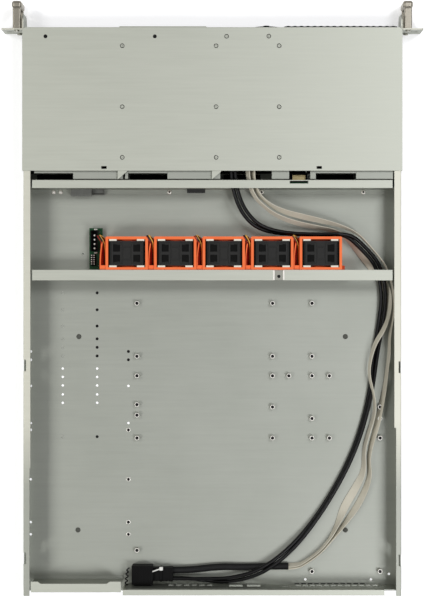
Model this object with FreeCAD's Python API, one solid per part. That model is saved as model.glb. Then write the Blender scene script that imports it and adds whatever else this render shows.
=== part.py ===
import FreeCAD, Part
import math
import os

V = FreeCAD.Vector
UP = V(0, 0, 1)
REARWARD = V(0, 1, 0)
ACROSS = V(1, 0, 0)

# An empty 1U rackmount server case, in millimetres. Seen from the front, +X is to the right,
# +Y runs to the rear and +Z is up. The origin is the middle of the underside of the whole case.

# Shell
BODY_DEPTH = 650.0        # front face to rear edge
BODY_HEIGHT = 42.2        # underside to the top of the side rails
SHEET = 1.0               # zinc-plated steel sheet
BEND = 1.0                # outside radius of the folds
RAIL_WIDTH = 8.0          # side wall's folded top rail
RAIL_LIP = 4.0            # rail's turned-down inner lip
HANDLE_REACH = 31.0       # handles ahead of the front face
LAP_GAP = 0.2             # between lapped sheets

# Front cover
COVER_DEPTH = 164.0
COVER_FLANGE = 12.0
COVER_CORNER = 4.0
SCREW_R = 1.3
SCREW_HEAD_R = 2.5
HOLE_GAP = 0.15           # between a screw or rivet and its hole

# Front face
PANEL_SHEET = 1.2
STRIP_BASE = 28.9         # underside of the front strip above the trays
PANEL_FLANGE = 16.0
MEDIA_WIDTH = 129.0       # slim media bay
MEDIA_SIDE = 3.6          # between the bay and the left wall
MEDIA_PROUD = 1.8
CONTROL_WIDTH = 66.0
MEDIA_TO_CONTROL = 4.4
CONTROL_DEPTH = 14.0
HOOD_LEFT = 6.0
HOOD_WIDTH = 101.0
HOOD_REACH = 1.2
BUTTON_GAP = 0.2
BUTTON_TRAVEL = 1.2

# Ears and handles
EAR_SPAN = 482.6          # 19 inch rack width
EAR_REACH = 25.3          # rack plate beyond the side wall
EAR_SHEET = 1.5
EAR_SLOT_EDGE = 8.75      # middle of a rack slot in from the end of its plate
EAR_SLOT_R = 3.4
EAR_SLOT_LENGTH = 9.0
EAR_SETBACK = 1.0
EAR_CHEEK = 16.0          # side plate ahead of the front face
EAR_LEG = 32.0            # side plate along the body
HANDLE_WIDTH = 9.0
HANDLE_BAR = 6.0
HANDLE_OUT = 8.0          # middle of a handle beyond the side wall
HANDLE_BASE = 3.0
HANDLE_HEIGHT = 37.5
GRIP_WIDTH = 11.4
GRIP_BAR = 8.4

# Drive bays
BAYS = 4
DIVIDER_SHEET = 1.0
TRAY_GAP = 0.5
TRAY_LIFT = 0.3
TRAY_HEIGHT = 26.6
TRAY_LENGTH = 165.0
TRAY_BEZEL = 12.0
TRAY_RAIL = 1.8
TRAY_RAIL_HEIGHT = 22.0
TRAY_BAR = 14.0
TRAY_BAR_SHEET = 1.5
RECESS_DEPTH = 5.5
RECESS_MARGIN = 2.6
LEVER_THICK = 4.0
LEVER_GAP = 0.4
LEVER_FINGER = 9.0
PIN_R = 1.5
PIN_GAP = 0.05
PIN_DEPTH = 1.8

# Backplane
BRACE_REAR = 183.7        # rear face of the brace, behind the front face
BRACE_FLANGE = 9.2
FLANGE_GAP = 2.0          # between the cross-members' top flanges and the rails
FLANGE_LIP = 3.0
BRACE_FOOT = 5.4
BOARD_SHEET = 1.6
BOARD_BOSS = 4.6
BOARD_EDGE = 11.0         # between the backplane's ends and the walls
CONNECTOR_LENGTH = 43.0
CONNECTOR_DEPTH = 9.7
CONNECTOR_HEIGHT = 8.0
CONNECTOR_SHIFT = 20.0    # from the middle of each bay

# Fans
FANS = 5
FAN_PITCH = 55.5
FAN_ROW_X = -13.1         # middle of the row
FAN_SIZE = 40.0
FAN_DEPTH = 28.0
FAN_BORE_R = 18.8
FAN_FLANGE = 4.0
BLADES = 7
BLADE_R = 18.2
HUB_R = 10.5
HUB_LENGTH = 20.0
SHAFT_R = 1.5
SHAFT_GAP = 0.05
HOLDER_WIDTH = 48.5
HOLDER_DEPTH = 38.1
HOLDER_WALL = 3.0
HOLDER_BASE = 0.6
HOLDER_HEIGHT = 40.0
CHANNEL = 6.8             # wire channel beside each holder
CHANNEL_WALL = 1.2
LEAD_R = 1.2
WALL_FRONT = 277.2        # fan wall's front face, behind the front face
WALL_FLANGE = 12.1
AIR_R = 18.5

# Boards and their standoffs
STANDOFF_HEIGHT = 6.0
STANDOFF_R = 3.0
STANDOFF_HOLE_R = 1.4
BOARD_COLUMN = 87.9       # first column of board screws
BOARD_ROW = 162.6         # row of board screws nearest the middle of the case's depth
BOARD_LAST_ROW = 47.5     # last board screw from the rear edge
TIE_ROW = 23.0            # last standoffs from the rear edge

# Rear
REAR_FLANGE = 7.0
REAR_OPEN_END = 18.2      # rear wall without its top flange, beside the left wall
PSU_WIDTH = 110.5         # power supply bay, out to the right wall
PSU_FLANGE = 9.8
SHIELD_WIDTH = 158.0
SHIELD_HEIGHT = 36.0
SHIELD_SHEET = 0.6
SLOT_WIDTH = 104.0
SLOT_HEIGHT = 18.0

# Internal cables
CABLE_R = 2.2
RIBBON_R = 1.8
SLEEVE_R = 4.0
PLUG_LENGTH = 24.4
PLUG_WIDTH = 22.0
PLUG_HEIGHT = 18.5
BOOT_LENGTH = 23.0

# Worked out from the sizes above
FRONT_Y = (HANDLE_REACH - BODY_DEPTH) / 2
REAR_Y = FRONT_Y + BODY_DEPTH
BODY_WIDTH = EAR_SPAN - 2 * EAR_REACH
EAR_SLOT_SPACING = EAR_SPAN - 2 * EAR_SLOT_EDGE
HALF = BODY_WIDTH / 2
HANDLE_X = HALF + HANDLE_OUT
FLANGE_HALF = HALF - RAIL_WIDTH - FLANGE_GAP
INNER_HALF = HALF - SHEET
SEAM = BODY_HEIGHT - SHEET            # underside of the top flanges
COVER_TOP = BODY_HEIGHT + SHEET
BAY_CLEAR = (2 * INNER_HALF - (BAYS - 1) * DIVIDER_SHEET) / BAYS
BAY_PITCH = BAY_CLEAR + DIVIDER_SHEET
TRAY_WIDTH = BAY_CLEAR - 2 * TRAY_GAP
TRAY_BASE = SHEET + TRAY_LIFT
TRAY_TOP = TRAY_BASE + TRAY_HEIGHT
BRACE_Y = FRONT_Y + BRACE_REAR
WALL_Y = FRONT_Y + WALL_FRONT
MEDIA_LEFT = -INNER_HALF + MEDIA_SIDE
MEDIA_RIGHT = MEDIA_LEFT + MEDIA_WIDTH
CONTROL_RIGHT = MEDIA_RIGHT + MEDIA_TO_CONTROL + CONTROL_WIDTH
CONTROL_LEFT = CONTROL_RIGHT - CONTROL_WIDTH
STRIP_INSIDE = STRIP_BASE + SHEET
FAN_BASE = SHEET + HOLDER_BASE
FAN_AXIS_Z = FAN_BASE + FAN_SIZE / 2
HOLDER_Y = WALL_Y - HOLDER_DEPTH
FAN_Y = HOLDER_Y + (HOLDER_DEPTH - FAN_DEPTH) / 2
REAR_WEB_Y = REAR_Y - REAR_FLANGE
PSU_LEFT = INNER_HALF - PSU_WIDTH
PSU_WEB_Y = REAR_Y - REAR_FLANGE - 7.0
BOARD_Z = SHEET + STANDOFF_HEIGHT
BACKPLANE_Y = BRACE_Y - SHEET - BOARD_BOSS - BOARD_SHEET


def block(x0, x1, y0, y1, z0, z1):
    """Box between two opposite corners."""
    return Part.makeBox(x1 - x0, y1 - y0, z1 - z0, V(x0, y0, z0))


def disc(x, y, z, r, length, axis=UP):
    """Cylinder that starts at a point and runs along an axis."""
    return Part.makeCylinder(r, length, V(x, y, z), axis)


def plate(points, start, lift):
    """Straight-sided outline in a plane, lifted into a solid. Start and lift are vectors."""
    corners = [start + V(*p) for p in points]
    return Part.Face(Part.makePolygon(corners + corners[:1])).extrude(lift)


def slot_up(x, y, length, r, z0, z1):
    """Round-ended slot along X that is cut up through a level sheet."""
    run = length / 2 - r
    parts = [block(x - run, x + run, y - r, y + r, z0, z1)]
    parts += [disc(x + s * run, y, z0, r, z1 - z0) for s in (-1, 1)]
    return parts[0].fuse(parts[1:]).removeSplitter()


def upright_edges(shape, axis, length):
    """Straight edges of a shape that run along an axis for its whole length."""
    found = []
    for edge in shape.Edges:
        if isinstance(edge.Curve, Part.Line) and abs(edge.Length - length) < 1e-3:
            if abs(edge.tangentAt(edge.FirstParameter).dot(axis)) > 0.999:
                found.append(edge)
    return found


def mirrored(shape):
    """Left-hand twin of a right-hand piece."""
    return shape.mirror(V(0, 0, 0), ACROSS)


def group(shapes):
    """Several separate solids kept in one node."""
    return Part.makeCompound(shapes)


def flange_slot(shape, spots, top):
    """Clear holes for cover screws through a flange whose top is at a given height."""
    holes = [disc(x, y, top - 2 * SHEET, SCREW_R + HOLE_GAP, 3 * SHEET) for x, y in spots]
    return shape.cut(holes)


# Cover screws: three rows over the dividers and the media bay wall, and a pair at the front.
SCREW_COLUMNS = (BAY_PITCH - 4.85, -4.3, MEDIA_RIGHT + 6.0)
SCREW_ROWS = (21.2, 90.9, 148.7)
FRONT_SCREWS = ((CONTROL_RIGHT - 4.3, 10.4), (CONTROL_LEFT + 13.5, 10.2))
COVER_HOLES = ((190.6, 10.5), (65.7, 10.5))


def cover_screw_spots():
    spots = [(x, FRONT_Y + y) for x in SCREW_COLUMNS for y in SCREW_ROWS]
    return spots + [(x, FRONT_Y + y) for x, y in FRONT_SCREWS]


def side_profile(rails, y0, length):
    """Section of the folded tray: floor and side walls, with or without the top rails."""
    outline = [(-HALF, 0, 0), (HALF, 0, 0), (HALF, 0, BODY_HEIGHT)]
    if rails:
        lip = HALF - RAIL_WIDTH
        right = [(lip, 0, BODY_HEIGHT), (lip, 0, BODY_HEIGHT - RAIL_LIP),
                 (lip + SHEET, 0, BODY_HEIGHT - RAIL_LIP), (lip + SHEET, 0, SEAM),
                 (INNER_HALF, 0, SEAM), (INNER_HALF, 0, SHEET)]
    else:
        right = [(INNER_HALF, 0, BODY_HEIGHT), (INNER_HALF, 0, SHEET)]
    outline += right + [(-x, y, z) for x, y, z in reversed(right)]
    outline.append((-HALF, 0, BODY_HEIGHT))
    return plate(outline, V(0, y0, 0), REARWARD * length)


# Floor holes, by column: X, then distances behind the front face.
VENT_COLUMNS = {
    174.5: (303.6, 323.3, 342.2, 357.1, 367.0, 377.0, 391.7, 401.5, 411.4, 421.8, 431.6, 471.0),
    134.5: (303.6, 323.3, 342.2, 357.1, 367.0, 377.0, 391.7, 401.5, 411.4, 421.8, 431.6, 471.0),
    98.1: (371.8, 381.5, 411.9, 455.1, 463.1, 520.6, 570.4, 584.6),
    211.6: (371.8, 381.5, 411.9, 455.1, 463.1, 520.6, 570.4, 584.6),
    150.9: (258.1,),
    -205.0: (630.7,),
    -107.8: (637.0,),
    -184.2: (637.0,),
}
FLOOR_HOLE_R = 1.5
FOOT_DIMPLES = ((155.7, 354.5), (156.8, 579.5), (-154.3, 354.5), (-154.3, 579.5))
DIMPLE_R = 2.9
DIMPLE_DEPTH = 0.4
LID_NOTCHES = ((1, 380.0), (1, 600.5), (-1, 382.0), (-1, 603.0))
NOTCH_LENGTH = 13.0
NOTCH_DEPTH = 3.0
RAIL_STEPS = ((1, 504.0, 1.0), (-1, 458.0, 2.0))    # side, distance behind the front face, depth
RIVETS_ON_BRACE = (50.3, -57.1, -175.3, 177.0, 185.1)
RIVET_R = 1.2


def base_tray():
    """Floor, side walls and rails, folded from one sheet, with its rows of pierced holes."""
    front = FRONT_Y + PANEL_SHEET
    rails_from = FRONT_Y + COVER_DEPTH - 9.0
    fore = side_profile(False, front, rails_from - front)
    aft = side_profile(True, rails_from, REAR_Y - rails_from)
    aft = aft.makeFillet(BEND, [e for e in upright_edges(aft, REARWARD, REAR_Y - rails_from)
                                if abs(e.Vertexes[0].X) > HALF - 1e-3])
    fore = fore.makeFillet(BEND, [e for e in upright_edges(fore, REARWARD, rails_from - front)
                                  if abs(e.Vertexes[0].X) > HALF - 1e-3 and e.Vertexes[0].Z < 1])
    cuts = []
    for x, distances in VENT_COLUMNS.items():
        cuts += [disc(x, FRONT_Y + d, -SHEET, FLOOR_HOLE_R, 3 * SHEET) for d in distances]
    cuts += [disc(x, FRONT_Y + d, SHEET - DIMPLE_DEPTH, DIMPLE_R, SHEET) for x, d in FOOT_DIMPLES]
    cuts += [disc(x, BRACE_Y + BRACE_FOOT / 2, -SHEET, RIVET_R + HOLE_GAP, 3 * SHEET)
             for x in RIVETS_ON_BRACE]
    for side, d in LID_NOTCHES:
        low, high = sorted((side * (HALF - NOTCH_DEPTH), side * (HALF + 1)))
        cuts.append(block(low, high, FRONT_Y + d, FRONT_Y + d + NOTCH_LENGTH,
                          BODY_HEIGHT - 6.0, BODY_HEIGHT + 1))
    for side, d, depth in RAIL_STEPS:
        inner = HALF - RAIL_WIDTH
        low, high = sorted((side * (inner - 1), side * (inner + depth)))
        cuts.append(block(low, high, FRONT_Y + d, REAR_Y + 1, BODY_HEIGHT - RAIL_LIP - 1,
                          BODY_HEIGHT + 1))
    return fore.fuse(aft).removeSplitter().cut(cuts)


def front_cover():
    """Fixed lid over the drive bays: a flat sheet whose side flanges lap outside the walls."""
    outer = HALF + LAP_GAP + SHEET
    top = block(-outer, outer, FRONT_Y, FRONT_Y + COVER_DEPTH, BODY_HEIGHT, COVER_TOP)
    corners = [e for e in upright_edges(top, UP, SHEET) if e.Vertexes[0].Y < FRONT_Y + 1]
    top = top.makeFillet(COVER_CORNER, corners)
    sides = []
    for side in (-1, 1):
        low, high = sorted((side * (outer - SHEET), side * outer))
        sides.append(block(low, high, FRONT_Y + COVER_CORNER + 2, FRONT_Y + COVER_DEPTH,
                           COVER_TOP - COVER_FLANGE, COVER_TOP - SHEET / 2))
    cover = top.fuse(sides).removeSplitter()
    sinks = [Part.makeCone(SCREW_R + HOLE_GAP, SCREW_HEAD_R + HOLE_GAP, SHEET,
                           V(x, y, BODY_HEIGHT)) for x, y in cover_screw_spots()]
    plain = [disc(x, FRONT_Y + y, BODY_HEIGHT - 1, 1.8, 3 * SHEET) for x, y in COVER_HOLES]
    latches = [block(x - 3, x + 3, FRONT_Y + COVER_DEPTH - 5.2, FRONT_Y + COVER_DEPTH - 2.2,
                     BODY_HEIGHT - 1, COVER_TOP + 1) for x in (123.8, -122.1)]
    return cover.cut(sinks + plain + latches)


def front_panel():
    """Strip above the trays: cut-outs for the media bay and the controls, and air slots."""
    half = INNER_HALF - LAP_GAP
    web = block(-half, half, FRONT_Y, FRONT_Y + PANEL_SHEET, STRIP_BASE, BODY_HEIGHT)
    flange = block(-half, half, FRONT_Y, FRONT_Y + PANEL_FLANGE, SEAM, BODY_HEIGHT)
    hood = block(HOOD_LEFT, HOOD_LEFT + HOOD_WIDTH, FRONT_Y - HOOD_REACH, FRONT_Y,
                 BODY_HEIGHT - 1.6, BODY_HEIGHT)
    hood = hood.makeChamfer(HOOD_REACH * 0.9, [e for e in upright_edges(hood, UP, 1.6)
                                               if e.Vertexes[0].Y < FRONT_Y - 0.1])
    tabs = []
    for side in (-1, 1):
        low, high = sorted((side * (half - SHEET), side * half))
        tabs.append(block(low, high, FRONT_Y, FRONT_Y + PANEL_FLANGE / 2, STRIP_BASE, BODY_HEIGHT))
    panel = web.fuse([flange, hood] + tabs).removeSplitter()
    y0 = FRONT_Y - 5
    y1 = FRONT_Y + PANEL_SHEET
    cuts = [block(MEDIA_LEFT - LAP_GAP, MEDIA_RIGHT + LAP_GAP, y0, y1 + 1, STRIP_INSIDE, SEAM),
            block(CONTROL_LEFT - LAP_GAP, CONTROL_RIGHT + LAP_GAP, y0, y1 + 1,
                  STRIP_INSIDE, SEAM)]
    middle = (STRIP_BASE + SEAM) / 2
    cuts += [block(x - 3.0, x + 3.0, y0, y1 + 1, middle - 3.6, middle + 3.6)
             for x in [HOOD_LEFT + 8.0 + 9.4 * i for i in range(21)]]
    return flange_slot(panel.cut(cuts), cover_screw_spots()[-2:], BODY_HEIGHT)


def bay_divider(index):
    """Upright sheet between two trays. The first two from the right reach up to the cover."""
    x = (index - 2) * BAY_PITCH
    low = x - DIVIDER_SHEET / 2
    high = x + DIVIDER_SHEET / 2
    tall = index > 1
    top = SEAM if tall else STRIP_BASE
    front = FRONT_Y + TRAY_BEZEL / 2
    rear = FRONT_Y + TRAY_LENGTH
    sheet = block(low, high, front, rear, SHEET, top)
    notch = block(low - 1, high + 1, front - 1, FRONT_Y + PANEL_FLANGE + 1, STRIP_BASE - 1, top + 1)
    if tall:
        reach = rear + 9.0
        outline = [(high, FRONT_Y + PANEL_FLANGE + 1, SEAM), (high, reach, SEAM),
                   (low - 9.5, rear, SEAM), (low - 9.5, FRONT_Y + PANEL_FLANGE + 1, SEAM)]
        flange = plate(outline, V(0, 0, 0), UP * SHEET)
        gusset = plate([(low, rear, SEAM), (low, reach - 0.5, SEAM), (low, rear, SEAM - 12.0)],
                       V(0, 0, 0), ACROSS * DIVIDER_SHEET)
        sheet = sheet.cut(notch).fuse([flange, gusset]).removeSplitter()
        spots = [s for s in cover_screw_spots() if low - 9.5 < s[0] < high and s[1] > front]
        sheet = flange_slot(sheet, spots, BODY_HEIGHT)
    cuts = []
    for i in range(4):
        y = FRONT_Y + 35.0 + 34.0 * i
        cuts.append(block(low - 1, high + 1, y - 10.0, y + 10.0, 11.0, 19.0))
    return sheet.cut(cuts)


def media_shelf():
    """Folded shelf over the left trays: it carries the slim media bay and holds its side wall."""
    left = -INNER_HALF + 2 * LAP_GAP + SHEET
    wall = MEDIA_RIGHT + 2.2
    y0 = FRONT_Y + PANEL_SHEET + LAP_GAP
    y1 = FRONT_Y + COVER_DEPTH - 6.0
    y2 = FRONT_Y + PANEL_FLANGE + 1
    floor = block(left, wall + SHEET, y0, y1, STRIP_BASE, STRIP_INSIDE)
    side = block(wall, wall + SHEET, y2, y1, STRIP_BASE, BODY_HEIGHT)
    flange = block(wall, wall + 10.5, y2, y1, SEAM, BODY_HEIGHT)
    lip = block(left, left + SHEET, y2, y1, STRIP_BASE, STRIP_INSIDE + 7.0)
    shelf = floor.fuse([side, flange, lip]).removeSplitter()
    spots = [s for s in cover_screw_spots() if wall < s[0] < wall + 10.5 and s[1] > y2]
    windows = [slot_up(left + 35.0 + 58.0 * i, FRONT_Y + 90.0, 34.0, 8.0, STRIP_BASE - 1,
                       STRIP_INSIDE + 1) for i in range(2)]
    return flange_slot(shelf, spots, BODY_HEIGHT).cut(windows)


def media_bay_bezel():
    """Black plastic blank of the slim bay, with a fluted face and two side clips."""
    x0 = MEDIA_LEFT
    x1 = MEDIA_RIGHT
    z0 = STRIP_INSIDE + LAP_GAP
    z1 = SEAM - LAP_GAP
    face = block(x0, x1, FRONT_Y - MEDIA_PROUD + 0.6, FRONT_Y + 2.0, z0, z1)
    pitch = 7.5
    count = int(MEDIA_WIDTH / pitch)
    start = (x0 + x1) / 2 - pitch * (count - 1) / 2
    flutes = [disc(start + pitch * i, FRONT_Y + 3.6, z0, MEDIA_PROUD + 3.6, z1 - z0)
              .common(block(x0, x1, FRONT_Y - MEDIA_PROUD, FRONT_Y + 1.0, z0, z1))
              for i in range(count)]
    clips = [block(x, x + 2.0, FRONT_Y + 2.0, FRONT_Y + 24.0, z0, z1 - 3.0)
             for x in (x0 + 4.0, x1 - 6.0)]
    return face.fuse(flutes + clips).removeSplitter()


BUTTON_X = CONTROL_LEFT + 16.2
RESET_X = BUTTON_X + 15.3


def control_panel():
    """Moulded control module: a bowed lip round the power button, two ports and light holes."""
    z0 = STRIP_INSIDE + LAP_GAP
    z1 = SEAM - LAP_GAP
    middle = (z0 + z1) / 2
    body = block(CONTROL_LEFT, CONTROL_RIGHT, FRONT_Y, FRONT_Y + CONTROL_DEPTH, z0, z1)
    bow = [V(BUTTON_X - 16.0, FRONT_Y, z0), V(BUTTON_X, FRONT_Y - 1.3, z0),
           V(BUTTON_X + 16.0, FRONT_Y, z0)]
    arc = Part.Arc(*bow).toShape()
    lip = Part.Face(Part.Wire([arc, Part.makeLine(bow[2], bow[0])])).extrude(UP * (z1 - z0))
    module = body.fuse(lip).removeSplitter()
    cuts = []
    for x, r in ((BUTTON_X, 3.6), (RESET_X, 1.6)):
        cuts.append(disc(x, FRONT_Y - 2, middle, r + BUTTON_GAP, 6.0, REARWARD))
        cuts.append(disc(x, FRONT_Y + 3.0, middle, r + 1.2, 8.0, REARWARD))
    cuts += [block(x, x + 5.2, FRONT_Y - 1, FRONT_Y + 10.0, middle - 2.4, middle + 2.4)
             for x in (CONTROL_RIGHT - 8.0, CONTROL_RIGHT - 17.0)]
    cuts += [disc(CONTROL_RIGHT - 21.5 - 3.2 * i, FRONT_Y - 2, middle + 2.0, 0.9, 5.0, REARWARD)
             for i in range(3)]
    return module.cut(cuts)


def push_button(x, r, proud):
    """Cap, retaining collar and stem of a push button that slides in the control module."""
    middle = (STRIP_INSIDE + SEAM) / 2
    cap = disc(x, FRONT_Y - proud, middle, r, 3.2 + proud, REARWARD)
    cap = cap.makeChamfer(0.4, [e for e in cap.Edges if e.Closed and e.CenterOfMass.y < FRONT_Y - 0.1])
    collar = disc(x, FRONT_Y + 3.0 + BUTTON_GAP, middle, r + 0.9, 1.0, REARWARD)
    stem = disc(x, FRONT_Y + 4.0, middle, r * 0.5, 5.4, REARWARD)
    return cap.fuse([collar, stem]).removeSplitter()


def ear_bracket():
    """Right ear: a side plate with a rounded cheek ahead of the face, and the rack plate."""
    x0 = HALF
    z0 = 2.0
    z1 = BODY_HEIGHT - 1.0
    y0 = FRONT_Y - EAR_CHEEK
    cheek = block(x0, x0 + EAR_SHEET, y0, FRONT_Y + EAR_SETBACK + EAR_SHEET, z0, z1)
    cheek = cheek.makeFillet(8.0, [e for e in upright_edges(cheek, ACROSS, EAR_SHEET)
                                   if e.Vertexes[0].Y < y0 + 1])
    leg = block(x0, x0 + EAR_SHEET, FRONT_Y + EAR_SETBACK, FRONT_Y + EAR_LEG,
                z0 + 2.0, COVER_TOP - COVER_FLANGE - 0.8)
    rack = block(x0, EAR_SPAN / 2, FRONT_Y + EAR_SETBACK, FRONT_Y + EAR_SETBACK + EAR_SHEET,
                 0.6, BODY_HEIGHT - 0.4)
    rack = rack.makeFillet(2.0, [e for e in upright_edges(rack, REARWARD, EAR_SHEET)
                                 if e.Vertexes[0].X > x0 + 5])
    ear = cheek.fuse([leg, rack]).removeSplitter()
    x = EAR_SLOT_SPACING / 2
    run = EAR_SLOT_LENGTH / 2 - EAR_SLOT_R
    middle = BODY_HEIGHT / 2
    y1 = FRONT_Y - 1
    slot = [block(x - run, x + run, y1, y1 + 5, middle - EAR_SLOT_R, middle + EAR_SLOT_R)]
    slot += [disc(x + s * run, y1, middle, EAR_SLOT_R, 5, REARWARD) for s in (-1, 1)]
    holes = [disc(x0 - 1, y0 + EAR_CHEEK * 0.55, z, 1.3, EAR_SHEET + 2, ACROSS) for z in (12.0, 24.0)]
    return ear.cut(slot + holes)


def handle():
    """Right handle: a cast loop with rounded arms and a thicker grip at its front."""
    y0 = FRONT_Y - HANDLE_REACH
    y1 = FRONT_Y + EAR_SETBACK
    z0 = HANDLE_BASE
    z1 = HANDLE_BASE + HANDLE_HEIGHT
    x0 = HANDLE_X - HANDLE_WIDTH / 2
    front = y0 + (GRIP_BAR - HANDLE_BAR) / 2
    outer = block(x0, x0 + HANDLE_WIDTH, front, y1, z0, z1)
    outer = outer.makeFillet(9.0, [e for e in upright_edges(outer, ACROSS, HANDLE_WIDTH)
                                   if e.Vertexes[0].Y < front + 1])
    inner = block(x0 - 1, x0 + HANDLE_WIDTH + 1, front + HANDLE_BAR, y1 + 1,
                  z0 + HANDLE_BAR, z1 - HANDLE_BAR)
    inner = inner.makeFillet(4.0, [e for e in upright_edges(inner, ACROSS, HANDLE_WIDTH + 2)
                                   if e.Vertexes[0].Y < front + HANDLE_BAR + 1])
    loop = outer.cut(inner)
    rims = [e for e in loop.Edges if e.Vertexes[0].Y < y1 - 0.1 or e.Vertexes[-1].Y < y1 - 0.1]
    rims = [e for e in rims if abs(abs(e.Vertexes[0].X - e.Vertexes[-1].X)) < 0.1]
    loop = loop.makeFillet(1.6, rims)
    grip = block(HANDLE_X - GRIP_WIDTH / 2, HANDLE_X + GRIP_WIDTH / 2, y0, y0 + GRIP_BAR,
                 z0 + 0.4, z1 - 0.4)
    grip = grip.makeFillet(3.0, grip.Edges)
    return loop.fuse(grip).removeSplitter()


def tray_middle(index):
    return (index - (BAYS + 1) / 2) * BAY_PITCH


def lever_pivot(middle):
    """Place of a lever's pin, at the right end of its tray."""
    barrel = LEVER_THICK / 2 + LEVER_GAP
    x = middle + TRAY_WIDTH / 2 - RECESS_MARGIN - barrel - LEVER_GAP
    return x, FRONT_Y + LEVER_GAP + barrel


def drive_tray(index):
    """Drive carrier: a moulded bezel with a lever recess, side rails and cross-bars."""
    middle = tray_middle(index)
    half = TRAY_WIDTH / 2
    left = middle - half
    right = middle + half
    back = FRONT_Y + TRAY_BEZEL
    end = FRONT_Y + TRAY_LENGTH
    bezel = block(left, right, FRONT_Y, back, TRAY_BASE, TRAY_TOP)
    bezel = bezel.makeFillet(1.0, [e for e in upright_edges(bezel, UP, TRAY_HEIGHT)
                                   if e.Vertexes[0].Y < FRONT_Y + 1])
    rails = [block(x, x + TRAY_RAIL, back - 1, end, TRAY_BASE, TRAY_BASE + TRAY_RAIL_HEIGHT)
             for x in (left, right - TRAY_RAIL)]
    rails = [r.makeChamfer(7.0, [e for e in upright_edges(r, ACROSS, TRAY_RAIL)
                                 if e.Vertexes[0].Y > end - 1 and e.Vertexes[0].Z > 9])
             for r in rails]
    bars = [block(left, right, y, y + TRAY_BAR, TRAY_BASE, TRAY_BASE + TRAY_BAR_SHEET)
            for y in (back - 1, FRONT_Y + 82.0, end - TRAY_BAR)]
    recess = block(left + RECESS_MARGIN, right - RECESS_MARGIN, FRONT_Y - 1,
                   FRONT_Y + RECESS_DEPTH, TRAY_BASE + RECESS_MARGIN, TRAY_TOP - RECESS_MARGIN)
    x, y = lever_pivot(middle)
    bore = disc(x, y, TRAY_BASE + RECESS_MARGIN - PIN_DEPTH - LAP_GAP, PIN_R + PIN_GAP,
                TRAY_HEIGHT - 2 * (RECESS_MARGIN - PIN_DEPTH - LAP_GAP))
    vents = air_slots(middle, 3.5, back + 1)
    return bezel.fuse(rails + bars).removeSplitter().cut([recess, bore] + vents)


def air_slots(middle, half_width, back):
    """Cuts for the air slots of a tray and its lever, which line up."""
    centre = TRAY_BASE + TRAY_HEIGHT / 2
    return [block(x - half_width, x + half_width, FRONT_Y - 1, back, centre - 7.0, centre + 7.0)
            for x in [middle + 10.0 * (i - 3.5) for i in range(8)]]


def tray_lever(index):
    """Pull-out lever that lies in the bezel and turns on its own pins."""
    middle = tray_middle(index)
    x, y = lever_pivot(middle)
    left = middle - TRAY_WIDTH / 2 + RECESS_MARGIN + LEVER_FINGER
    z0 = TRAY_BASE + RECESS_MARGIN + LEVER_GAP
    z1 = TRAY_TOP - RECESS_MARGIN - LEVER_GAP
    bar = block(left, x, y - LEVER_THICK / 2, y + LEVER_THICK / 2, z0, z1)
    bar = bar.makeFillet(1.6, [e for e in upright_edges(bar, UP, z1 - z0)
                               if e.Vertexes[0].X < left + 1])
    barrel = disc(x, y, z0, LEVER_THICK / 2 + LEVER_GAP, z1 - z0)
    pin = disc(x, y, z0 - LEVER_GAP - PIN_DEPTH, PIN_R, z1 - z0 + 2 * (LEVER_GAP + PIN_DEPTH))
    vents = air_slots(middle, 3.0, FRONT_Y + RECESS_DEPTH)
    return bar.fuse([barrel, pin]).removeSplitter().cut(vents)


HEADER_WINDOWS = ((INNER_HALF - 75.0, INNER_HALF - 51.0, 4.0, 14.0), (8.5, 29.5, 13.0, 20.0))
BOSS_EDGE = 20.0          # outer bosses in from the side walls
BOSS_COLUMNS = (BOSS_EDGE - INNER_HALF, -55.0, 48.0, INNER_HALF - BOSS_EDGE)
BOSS_SPOTS = tuple((x, z) for x in BOSS_COLUMNS for z in (8.0, 24.0))
CABLE_NOTCH = (-66.0, -11.0)
AIR_WINDOW_W = 26.0
AIR_WINDOW_H = 10.0
AIR_WINDOW_SHIFT = 17.0   # from the middle of each bay
AIR_WINDOW_Z = 19.5       # its middle, above the drive connectors


def air_windows(y0, y1):
    """Openings above the drive connectors, the same in the board and the brace."""
    cuts = []
    for i in range(1, BAYS + 1):
        x = tray_middle(i) + AIR_WINDOW_SHIFT
        cuts.append(block(x - AIR_WINDOW_W / 2, x + AIR_WINDOW_W / 2, y0, y1,
                          AIR_WINDOW_Z - AIR_WINDOW_H / 2, AIR_WINDOW_Z + AIR_WINDOW_H / 2))
    return cuts


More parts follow.
